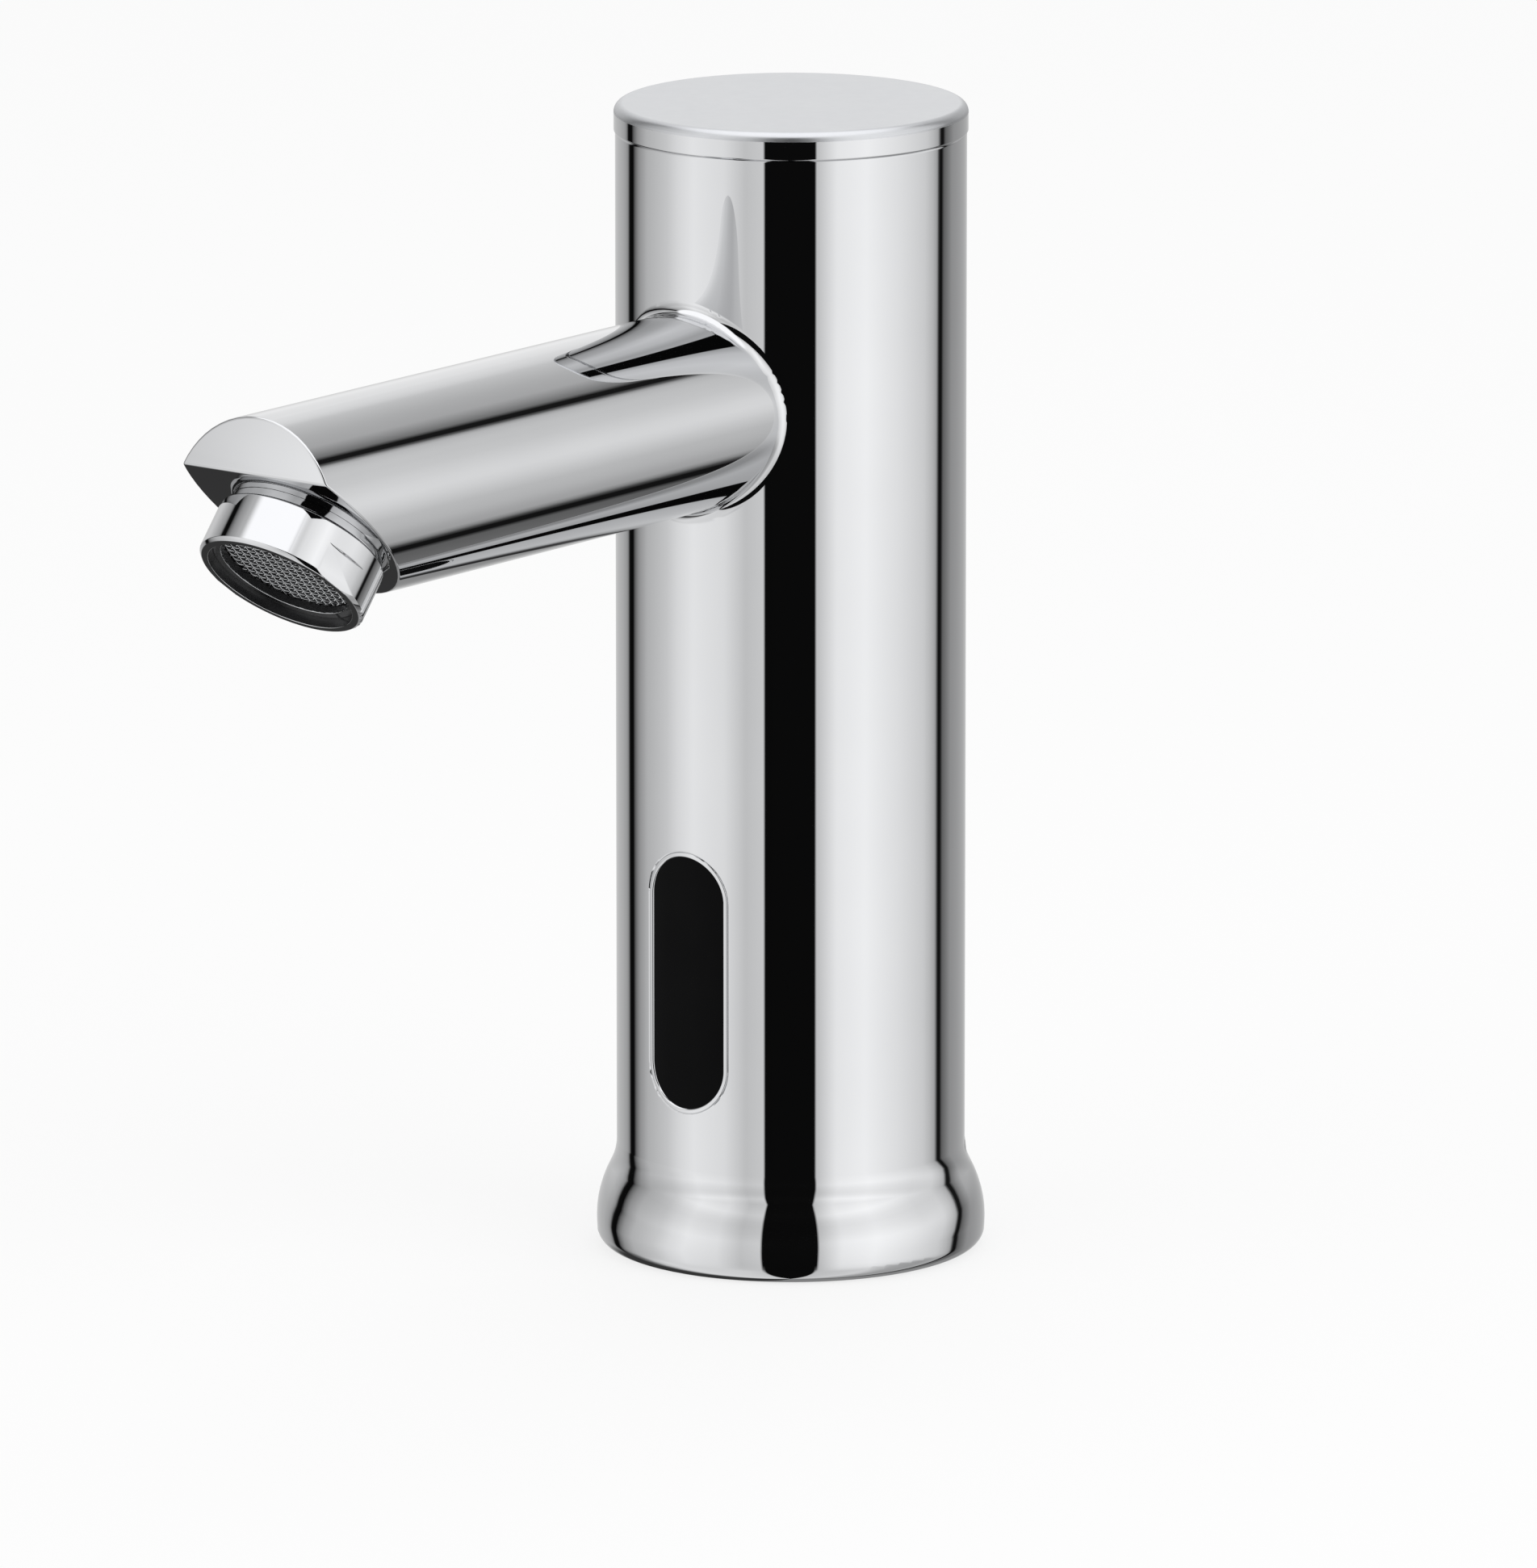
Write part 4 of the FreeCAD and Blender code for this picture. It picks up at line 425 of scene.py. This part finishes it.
def junction(point):
    """The true normal at a point of the round between spout and column."""
    turned = ball_at(point, small_round) if point.y < 0 else None
    if turned is not None:
        return (ball_middle(turned, small_round) - point).normalized()


def window_wall(point):
    """The true normal at a point of the window's wall."""
    if point.y < 0:
        nearest = min(max(point.z - window_middle, -straight_half), straight_half)
        out = Vector((-point.x, 0, window_middle + nearest - point.z))
        if abs(out.length - window_width / 2) < near:
            return out.normalized()


def polish(piece, surfaces):
    """Smooth shading, with true normals wherever a corner lies on one of the surfaces."""
    crease, least_facing = math.radians(35), 0.65
    mesh = piece.data
    mesh.shade_smooth()
    mesh.set_sharp_from_angle(angle=crease)
    normals = [Vector(corner.vector) for corner in mesh.corner_normals]
    found = {}
    for polygon in mesh.polygons:
        for loop in polygon.loop_indices:
            vertex = mesh.loops[loop].vertex_index
            if vertex not in found:
                point = mesh.vertices[vertex].co
                found[vertex] = [normal for normal in (surface(point) for surface in surfaces) if normal]
            for true in found[vertex]:
                facing = polygon.normal.dot(true)
                if abs(facing) > least_facing:
                    normals[loop] = true * math.copysign(1, facing)
                    break
    mesh.normals_split_custom_set(normals)


# hand polishing eases the flare of the foot and tightens the round under the spout: the rows of the
# packed rounds move to an eased profile and to a smaller rolling ball
steep = math.asin((flare_height - foot_belly) / (foot_arc + flare_round))
eased = math.asin((soft_height - foot_belly) / (foot_arc + soft_flare))


def on_eased_foot(point, reach):
    """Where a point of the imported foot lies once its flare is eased."""
    if point.z > flare_start + near:
        sunk = min(max((flare_height - point.z) / flare_round, 0), 1)
        slope = math.asin(sunk) * eased / steep
        wide = column_radius + soft_flare * (1 - math.cos(slope))
        height = soft_height - soft_flare * math.sin(slope)
    else:
        slope = math.asin((point.z - foot_belly) / foot_arc) * eased / steep
        wide = arc_middle + foot_arc * math.cos(slope)
        height = foot_belly + foot_arc * math.sin(slope)
    return point.x / reach * wide, point.y / reach * wide, height


def on_small_round(point, turned):
    """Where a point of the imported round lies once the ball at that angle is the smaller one."""
    packed, smaller = ball_middle(turned, junction_round), ball_middle(turned, small_round)
    spout_side = Vector((-math.cos(turned), 0, -math.sin(turned)))
    column_side = Vector((-packed.x, -packed.y, 0)).normalized()
    share = min(column_side.angle(point - packed) / column_side.angle(spout_side), 1)
    column_side = Vector((-smaller.x, -smaller.y, 0)).normalized()
    whole = column_side.angle(spout_side)
    toward = column_side * math.sin((1 - share) * whole) + spout_side * math.sin(share * whole)
    return smaller + toward / math.sin(whole) * small_round


cast_body = bench_copy("body_shell", "cast_body")
for vertex in cast_body.data.vertices:
    point = vertex.co.copy()
    reach = math.hypot(point.x, point.y)
    if foot_belly < point.z < flare_height + near and reach > column_radius - near:
        vertex.co = on_eased_foot(point, reach)
    elif point.y < 0 and abs(point.z - spout_height) < spout_radius + junction_round + near:
        turned = ball_at(point, junction_round)
        if turned is not None:
            vertex.co = on_small_round(point, turned)

face_out = Vector((0, -math.cos(face_lean), math.sin(face_lean)))
cut_out = Vector((0, -math.sin(cut_slope), -math.cos(cut_slope)))


def at_tip(point):
    """On the sharp outline of the tip: the crest of its face, its edge and the curve of the cut."""
    leaves = min(abs((point - tip_edge).dot(face_out)), abs((point - tip_edge).dot(cut_out)))
    on_side = math.hypot(point.x, point.z - spout_height) > spout_radius - facet_sag
    on_edge = abs(point.y - tip_edge.y) < near and abs(point.z - tip_edge.z) < near
    return leaves < near and (on_side or on_edge)


def at_seam(point):
    """On the outer edge of the column's rim, under the lid."""
    return point.z > rim_height - near and math.hypot(point.x, point.y) > column_radius - facet_sag


round_edges(cast_body, tip_round, at_tip, segments=5)
round_edges(cast_body, seam_round, at_seam)

# the rim of the window's opening is rolled over the lens: a fine bead laid along it
bead_round, bead_outset, bead_corners, straight_cuts = 0.0004, 0.00008, 144, 24
bpy.ops.object.select_all(action="DESELECT")
bpy.ops.mesh.primitive_circle_add(vertices=bead_corners, radius=window_width / 2 + bead_outset)
bead = bpy.context.object
for vertex in bead.data.vertices:
    x, z = vertex.co.x, vertex.co.y
    if abs(z) > near:
        z += math.copysign(straight_half, z)
    vertex.co = (x, -math.sqrt((column_radius + near - bead_round) ** 2 - x**2), window_middle + z)
bpy.ops.object.mode_set(mode="EDIT")
mesh = bmesh.from_edit_mesh(bead.data)
for edge in mesh.edges:
    edge.select_set((edge.verts[0].co - edge.verts[1].co).length > straight_half / 2)
bpy.ops.mesh.subdivide(number_cuts=straight_cuts)
bpy.ops.object.mode_set(mode="OBJECT")
bpy.ops.object.convert(target="CURVE")
bead = bpy.context.object
bead.data.bevel_depth = bead_round
bead.data.bevel_resolution = 6
bpy.ops.object.convert(target="MESH")
join(cast_body, bpy.context.object)

along_spout = Matrix.Translation((0, 0, spout_height)) @ Matrix.Rotation(math.radians(90), 4, "X")
polish(cast_body, [
    turned_side(column_radius, soft_height, rim_height),
    turned_side(spout_radius, column_radius - root_depth, -tip_edge.y, along_spout),
    junction,
    turned_arc(column_radius + soft_flare, soft_height, soft_flare, soft_start, soft_height),
    turned_arc(arc_middle, foot_belly, foot_arc, foot_round, soft_start),
    turned_arc(foot_side - foot_round, foot_round, foot_round, 0, foot_round),
    window_wall,
])


def wandering_finish():
    """Tone, roughness and fine relief that wander over a surface: one group for all the finishes."""
    group = bpy.data.node_groups.new("wandering_finish", "ShaderNodeTree")
    for name, kind in (
        ("Place", "Vector"),
        ("Scale", "Float"),
        ("Darker", "Color"),
        ("Lighter", "Color"),
        ("Least rough", "Float"),
        ("Most rough", "Float"),
        ("Relief", "Float"),
    ):
        group.interface.new_socket(name, in_out="INPUT", socket_type="NodeSocket" + kind)
    for name, kind in (("Tone", "Color"), ("Roughness", "Float"), ("Normal", "Vector")):
        group.interface.new_socket(name, in_out="OUTPUT", socket_type="NodeSocket" + kind)
    given = group.nodes.new("NodeGroupInput")
    given.location = (-900, 0)
    put = group.nodes.new("NodeGroupOutput")
    put.location = (500, 0)
    # two noises, the fine one at nine times the scale of the broad one
    finer = node(group, "Math", (-700, -300), operation="MULTIPLY")
    finer.inputs[1].default_value = 9
    group.links.new(given.outputs["Scale"], finer.inputs[0])
    broad, fine = node(group, "TexNoise", (-450, 200)), node(group, "TexNoise", (-450, -200))
    for noise, scale, detail in ((broad, given.outputs["Scale"], 3), (fine, finer.outputs[0], 5)):
        noise.inputs["Detail"].default_value = detail
        group.links.new(given.outputs["Place"], noise.inputs["Vector"])
        group.links.new(scale, noise.inputs["Scale"])
    # a noise keeps near its middle, so that stretch of it fills the whole range
    spread, rough = node(group, "MapRange", (-200, 300)), node(group, "MapRange", (50, 0))
    for stretched in (spread, rough):
        stretched.inputs["From Min"].default_value = 0.3
        stretched.inputs["From Max"].default_value = 0.7
    group.links.new(broad.outputs["Fac"], spread.inputs["Value"])
    tone = node(group, "Mix", (50, 300), data_type="RGBA")
    group.links.new(spread.outputs[0], tone.inputs["Factor"])
    group.links.new(given.outputs["Darker"], tone.inputs[6])
    group.links.new(given.outputs["Lighter"], tone.inputs[7])
    # half of each noise makes the roughness
    halved = node(group, "Math", (-200, 120), operation="MULTIPLY")
    halved.inputs[1].default_value = 0.5
    group.links.new(broad.outputs["Fac"], halved.inputs[0])
    both = node(group, "Math", (-200, 0), operation="MULTIPLY_ADD")
    both.inputs[1].default_value = 0.5
    group.links.new(fine.outputs["Fac"], both.inputs[0])
    group.links.new(halved.outputs[0], both.inputs[2])
    group.links.new(both.outputs[0], rough.inputs["Value"])
    group.links.new(given.outputs["Least rough"], rough.inputs["To Min"])
    group.links.new(given.outputs["Most rough"], rough.inputs["To Max"])
    bump = node(group, "Bump", (50, -250))
    group.links.new(given.outputs["Relief"], bump.inputs["Distance"])
    group.links.new(fine.outputs["Fac"], bump.inputs["Height"])
    group.links.new(tone.outputs[2], put.inputs["Tone"])
    group.links.new(rough.outputs[0], put.inputs["Roughness"])
    group.links.new(bump.outputs[0], put.inputs["Normal"])
    return group


wander = wandering_finish()


def finish(name, darker, lighter, rough, scale, relief=0.0, metallic=0.0):
    """A material whose tone runs between two colours, with its own roughness and fine relief."""
    material = bpy.data.materials.new(name)
    material.use_nodes = True
    tree = material.node_tree
    shader = tree.nodes["Principled BSDF"]
    shader.inputs["Metallic"].default_value = metallic
    worn = tree.nodes.new("ShaderNodeGroup")
    worn.node_tree = wander
    worn.location = (-400, 0)
    worn.inputs["Scale"].default_value = scale
    worn.inputs["Darker"].default_value = (*darker, 1)
    worn.inputs["Lighter"].default_value = (*lighter, 1)
    worn.inputs["Least rough"].default_value, worn.inputs["Most rough"].default_value = rough
    worn.inputs["Relief"].default_value = relief
    tree.links.new(node(tree, "TexCoord", (-700, 0)).outputs["Object"], worn.inputs["Place"])
    tree.links.new(worn.outputs["Tone"], shader.inputs["Base Color"])
    tree.links.new(worn.outputs["Roughness"], shader.inputs["Roughness"])
    if relief:
        tree.links.new(worn.outputs["Normal"], shader.inputs["Normal"])
    return material


chrome = finish("polished_chrome", (0.605, 0.61, 0.62), (0.62, 0.625, 0.635), (0.0, 0.03), 45, metallic=1)
cast_body.data.materials.append(chrome)
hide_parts("body_shell")
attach(cast_body, "tap_body")


# --- Lid ----------------------------------------------------------------------------------------
# A turned brass lid that screws into the column by a threaded skirt. Its side is bright chrome, its
# top and soft upper edge are blasted to an even satin before plating.
lid_radius, lid_height, lid_plate, lid_round, lid_corners = 0.0252, 0.004, 0.0024, 0.0013, 160
lid_top = rim_height + lid_height
skirt_radius, skirt_length, skirt_wall = 0.02175, 0.0075, 0.0024
thread_pitch, thread_depth, thread_start, thread_runout = 0.0015, 0.0006, 0.0006, 0.0012


def settle(piece):
    """Bakes the piece's place into its mesh, so that its object is at the origin."""
    bpy.ops.object.select_all(action="DESELECT")
    piece.select_set(True)
    bpy.context.view_layer.objects.active = piece
    bpy.ops.object.transform_apply(location=True, rotation=True, scale=True)


def turn_down(piece, radius, depth, top, bench=Matrix.Identity(4)):
    """Takes a thread's depth off the turned side of that radius, up to the top, about the bench's Z."""
    home = bench.inverted()
    for vertex in piece.data.vertices:
        place = home @ vertex.co
        if place.z < top and abs(math.hypot(place.x, place.y) - radius) < near:
            place.x *= (radius - depth) / radius
            place.y *= (radius - depth) / radius
            vertex.co = bench @ place


def cut_thread(name, radius, depth, pitch, low, high, bench=Matrix.Identity(4)):
    """A V thread as one closed ridge wound round the bench's Z, its crest at the radius."""
    flank = pitch * 0.46
    land = flank * 0.15
    crest, valley, buried = radius - depth * 0.1, radius - depth, radius - depth * 1.3
    outline = [
        (buried, 0, low),
        (valley, 0, low),
        (crest, 0, low + flank - land),
        (crest, 0, low + flank + land),
        (valley, 0, low + 2 * flank),
        (buried, 0, low + 2 * flank),
    ]
    sides = [(corner, (corner + 1) % len(outline)) for corner in range(len(outline))]
    profile = bpy.data.meshes.new(name)
    profile.from_pydata(outline, sides, [])
    bpy.ops.object.select_all(action="DESELECT")
    ridge = bpy.data.objects.new(name, profile)
    bpy.context.scene.collection.objects.link(ridge)
    ridge.select_set(True)
    bpy.context.view_layer.objects.active = ridge
    length, steps_per_turn = high - low - 2 * flank, 64
    winding = ridge.modifiers.new("winding", "SCREW")
    winding.angle = math.tau * length / pitch
    winding.screw_offset = length
    winding.steps = winding.render_steps = round(steps_per_turn * length / pitch)
    winding.use_merge_vertices = False
    bpy.ops.object.modifier_apply(modifier=winding.name)
    bpy.ops.object.mode_set(mode="EDIT")
    bpy.ops.mesh.select_all(action="SELECT")
    bpy.ops.mesh.fill_holes(sides=len(outline))
    bpy.ops.mesh.normals_make_consistent(inside=False)
    bpy.ops.object.mode_set(mode="OBJECT")
    ridge.matrix_world = bench
    settle(ridge)
    return ridge


bpy.ops.object.select_all(action="DESELECT")
bpy.ops.mesh.primitive_cylinder_add(
    vertices=lid_corners, radius=lid_radius, depth=lid_height, location=(0, 0, rim_height + lid_height / 2)
)
lid = bpy.context.object
lid.name = "screw_lid"
settle(lid)
round_edges(lid, lid_round, lambda middle: middle.z > lid_top - near, segments=10)
round_edges(lid, seam_round, lambda middle: middle.z < rim_height + near)
# the underside is drawn out into the skirt and hollowed up to the plate
bpy.ops.object.mode_set(mode="EDIT")
bpy.ops.mesh.select_mode(type="FACE")
bpy.ops.mesh.select_all(action="DESELECT")
mesh = bmesh.from_edit_mesh(lid.data)
for face in mesh.faces:
    face.select_set(face.normal.z < -0.99)
bmesh.update_edit_mesh(lid.data)
bpy.ops.mesh.inset(thickness=lid_radius - seam_round - skirt_radius)
bpy.ops.mesh.extrude_region_move(TRANSFORM_OT_translate={"value": (0, 0, -skirt_length)})
bpy.ops.mesh.inset(thickness=skirt_wall)
hollow = skirt_length + lid_height - lid_plate
bpy.ops.mesh.extrude_region_move(TRANSFORM_OT_translate={"value": (0, 0, hollow)})
bpy.ops.object.mode_set(mode="OBJECT")
turn_down(lid, skirt_radius, thread_depth, rim_height + near)
thread_low, thread_high = rim_height - skirt_length + thread_start, rim_height - thread_runout
join(lid, cut_thread("lid_thread", skirt_radius, thread_depth, thread_pitch, thread_low, thread_high))
polish(lid, [
    turned_side(lid_radius, rim_height, lid_top),
    turned_arc(lid_radius - lid_round, lid_top - lid_round, lid_round, lid_top - lid_round, lid_top),
])
satin = finish(
    "satin_chrome", (0.57, 0.58, 0.6), (0.6, 0.61, 0.625), (0.3, 0.36), 60, relief=0.000004, metallic=1
)
lid.data.materials.append(chrome)
lid.data.materials.append(satin)
for polygon in lid.data.polygons:
    if polygon.center.z > lid_top - lid_round:
        polygon.material_index = 1
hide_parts("top_cap")
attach(lid, "cap")


# --- Aerator ------------------------------------------------------------------------------------
# A turned and plated sleeve with a fine thread, screwed square into the cut under the tip. The walls
# inside its mouth are painted near black as painted shade of the recess; a thin bright ring holds a disc
# of woven steel wire.
sleeve_radius, sleeve_height, sleeve_neck, sleeve_round = 0.0123, 0.009, 0.0012, 0.00012
mouth_radius, mouth_depth, lip_radius, lip_height = 0.0108, 0.0016, 0.0096, 0.0012
fine_radius, fine_length, fine_depth, fine_pitch = 0.0114, 0.008, 0.00035, 0.001
fine_start, fine_runout, neck_clearance = 0.0004, 0.0003, 0.0008
ring_width, ring_depth = 0.00025, 0.0003
across_cut = 0.0149
aerator_middle = Vector((
    0,
    tip_edge.y + across_cut * math.cos(cut_slope),
    tip_edge.z - across_cut * math.sin(cut_slope),
))
square_to_cut = Matrix.Rotation(math.radians(180) - cut_slope, 4, "X")
aerator_bench = Matrix.Translation(aerator_middle) @ square_to_cut
from_bench = aerator_bench.inverted()
lip_top = sleeve_height - mouth_depth

aerator_sleeve = bench_copy("aerator_housing", "aerator_sleeve")
turn_down(aerator_sleeve, fine_radius, fine_depth, sleeve_neck - neck_clearance, aerator_bench)
round_edges(aerator_sleeve, sleeve_round, lambda middle: (from_bench @ middle).z > sleeve_neck - near)
fine_low, fine_high = fine_start - fine_length, -fine_runout
join(aerator_sleeve, cut_thread(
    "sleeve_thread", fine_radius, fine_depth, fine_pitch, fine_low, fine_high, aerator_bench
))
polish(aerator_sleeve, [
    turned_side(sleeve_radius, sleeve_neck, sleeve_height, aerator_bench),
    turned_side(fine_radius, 0, sleeve_neck, aerator_bench),
    turned_side(mouth_radius, lip_top, sleeve_height, aerator_bench),
    turned_side(lip_radius, lip_top - lip_height, lip_top, aerator_bench),
])
# painted shade: a near-black tone on the sleeve's inner mouth walls stands in for the shade inside the
# recess
mouth_shade = finish(
    "painted_mouth_shade", (0.006, 0.006, 0.007), (0.014, 0.014, 0.015), (0.25, 0.4), 300, relief=0.00001
)
aerator_sleeve.data.materials.append(chrome)
aerator_sleeve.data.materials.append(mouth_shade)
# the walls inside the mouth, all but the lip's thin ring, take the painted shade
for polygon in aerator_sleeve.data.polygons:
    place = from_bench @ polygon.center
    reach = math.hypot(place.x, place.y)
    outward = (from_bench.to_3x3() @ polygon.normal).dot(Vector((place.x, place.y, 0)).normalized())
    inside = reach < mouth_radius + near and place.z > 0
    on_ring = reach < lip_radius + ring_width and place.z > lip_top - ring_depth
    if inside and outward < 0.5 and not on_ring:
        polygon.material_index = 1
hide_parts("aerator_housing")
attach(aerator_sleeve, "aerator")

# the disc: as many wires one way as across, each waved over and under those that it crosses
wire_pitch, wire_radius, wire_corners, wire_cuts = 0.00092, 0.00013, 6, 83
screen_radius, screen_drop, screen_turn, wires_each_side = 0.0099, 0.00028, math.radians(35), 10
wires = []
for crossing in (False, True):
    for number in range(-wires_each_side, wires_each_side + 1):
        bpy.ops.object.select_all(action="DESELECT")
        bpy.ops.mesh.primitive_cylinder_add(
            vertices=wire_corners, radius=wire_radius, depth=2 * screen_radius
        )
        wire = bpy.context.object
        bpy.ops.object.mode_set(mode="EDIT")
        mesh = bmesh.from_edit_mesh(wire.data)
        for edge in mesh.edges:
            edge.select_set(abs(edge.verts[0].co.z - edge.verts[1].co.z) > screen_radius)
        bpy.ops.mesh.subdivide(number_cuts=wire_cuts)
        bpy.ops.object.mode_set(mode="OBJECT")
        even = number % 2 == 0
        wave = -wire_radius if even == crossing else wire_radius
        reach = math.sqrt(screen_radius**2 - (number * wire_pitch) ** 2) / screen_radius
        for vertex in wire.data.vertices:
            along_wire = vertex.co.z * reach
            across = number * wire_pitch + vertex.co.x
            up = vertex.co.y + wave * math.cos(math.pi * along_wire / wire_pitch)
            vertex.co = (along_wire, across, up) if crossing else (across, along_wire, up)
        wires.append(wire)
screen = wires[0]
screen.name = "wire_screen"
join(screen, *wires[1:])
bpy.ops.object.mode_set(mode="EDIT")
bpy.ops.mesh.select_all(action="SELECT")
bpy.ops.mesh.normals_make_consistent(inside=False)
bpy.ops.object.mode_set(mode="OBJECT")
in_mouth = Matrix.Translation((0, 0, lip_top - lip_height - screen_drop))
screen.matrix_world = aerator_bench @ in_mouth @ Matrix.Rotation(screen_turn, 4, "Z")
settle(screen)
screen.data.shade_smooth()
wire_steel = finish("wire_steel", (0.5, 0.51, 0.52), (0.62, 0.63, 0.64), (0.25, 0.4), 900, metallic=1)
screen.data.materials.append(wire_steel)
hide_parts("aerator_screen")
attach(screen, "aerator")


# --- Sensor window ------------------------------------------------------------------------------
# A moulded lens of near black plastic that infrared passes, curved like the column, sunk a little
# behind its surface and held from inside by a flange.
lens_sink = 0.0003
sensor_window = bench_copy("window_lens", "sensor_window")
polish(sensor_window, [turned_side(column_radius - lens_sink, 0, rim_height)])
smoked = finish("smoked_acrylic", (0.0012, 0.0012, 0.0014), (0.002, 0.002, 0.0022), (0.02, 0.05), 80)
smoked.node_tree.nodes["Principled BSDF"].inputs["Specular IOR Level"].default_value = 0.04
sensor_window.data.materials.append(smoked)
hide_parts("window_lens")
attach(sensor_window, "tap_body")


# --- Sensor -------------------------------------------------------------------------------------
# Behind the window: a black moulded tray with the circuit board, an infrared sender and receiver
# and a red lamp that look out through the lens, and two white sockets for the leads.
def dress(material, *nodes):
    """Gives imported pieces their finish."""
    for name in nodes:
        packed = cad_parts[name]
        packed.data.materials.clear()
        packed.data.materials.append(material)


black = finish(
    "black_moulding", (0.018, 0.018, 0.02), (0.032, 0.032, 0.035), (0.35, 0.55), 350, relief=0.00002
)
white = finish("white_moulding", (0.7, 0.7, 0.66), (0.78, 0.78, 0.75), (0.3, 0.45), 250, relief=0.00001)
solder_mask = finish(
    "solder_mask", (0.006, 0.07, 0.03), (0.02, 0.16, 0.07), (0.2, 0.35), 500, relief=0.00003
)
clear = finish("clear_diode", (0.66, 0.69, 0.74), (0.76, 0.79, 0.83), (0.03, 0.08), 200)
dark = finish("dark_diode", (0.012, 0.009, 0.016), (0.024, 0.018, 0.03), (0.04, 0.1), 200)
red = finish("red_diode", (0.45, 0.012, 0.01), (0.6, 0.03, 0.02), (0.05, 0.12), 200)
dress(black, "sensor_housing", "battery_holder", "battery_lid", "valve_bonnet", "coil_bobbin")
dress(white, "board_connectors", "outlet_adapter", "riser_elbow", "inlet_filter", "diaphragm_disc")
dress(solder_mask, "sensor_board")
dress(clear, "ir_emitter")
dress(dark, "ir_receiver")
dress(red, "status_led")
grey_insert = finish(
    "grey_jet_former", (0.05, 0.05, 0.052), (0.075, 0.075, 0.078), (0.35, 0.5), 300, relief=0.00002
)
dress(grey_insert, "aerator_insert")


# --- Water way ----------------------------------------------------------------------------------
# A machined brass block takes the inlet thread and the valve's seat; stainless tubes lead from it
# up the column and along the spout. Rubber rings and the membrane seal it.
brass = finish(
    "machined_brass", (0.55, 0.38, 0.15), (0.68, 0.5, 0.23), (0.2, 0.34), 140, relief=0.000006, metallic=1
)
steel = finish(
    "drawn_steel", (0.46, 0.46, 0.465), (0.58, 0.58, 0.585), (0.22, 0.36), 180, relief=0.000004, metallic=1
)
rubber = finish(
    "black_rubber", (0.012, 0.012, 0.012), (0.026, 0.026, 0.027), (0.6, 0.8), 400, relief=0.00004
)
dress(brass, "valve_block", "riser_nut")
dress(steel, "riser_tube", "spout_tube", "inner_frame", "block_screws", "bonnet_screws", "frame_screws")
dress(rubber, "cap_seal", "aerator_washer", "window_gasket", "diaphragm", "plunger_pad", "base_gasket")


# --- Solenoid -----------------------------------------------------------------------------------
# Coil, yoke and magnet round a steel core tube; the sprung plunger in it opens the membrane's pilot
# hole. The leads are flat and grey.
tape = finish("winding_tape", (0.42, 0.24, 0.03), (0.58, 0.36, 0.06), (0.25, 0.4), 220, relief=0.00003)
ferrite = finish("ferrite", (0.07, 0.07, 0.075), (0.11, 0.11, 0.115), (0.5, 0.7), 300, relief=0.00004)
sheath = finish("lead_sheath", (0.075, 0.075, 0.08), (0.11, 0.11, 0.115), (0.45, 0.6), 350, relief=0.00002)
dress(steel, "core_tube", "core_nut", "plunger", "plunger_spring", "coil_frame", "battery_contacts")
dress(tape, "coil_winding")
dress(ferrite, "latch_magnet")
dress(sheath, "battery_lead", "solenoid_lead")


# --- Batteries ----------------------------------------------------------------------------------
# Dry cells in a black moulded holder that lifts out once the lid is off. Their steel cans are
# closed in plain dark shrink wrap.
wrap = finish("cell_wrap", (0.03, 0.04, 0.075), (0.055, 0.07, 0.12), (0.15, 0.25), 90, relief=0.00001)
dress(wrap, "battery_cells")
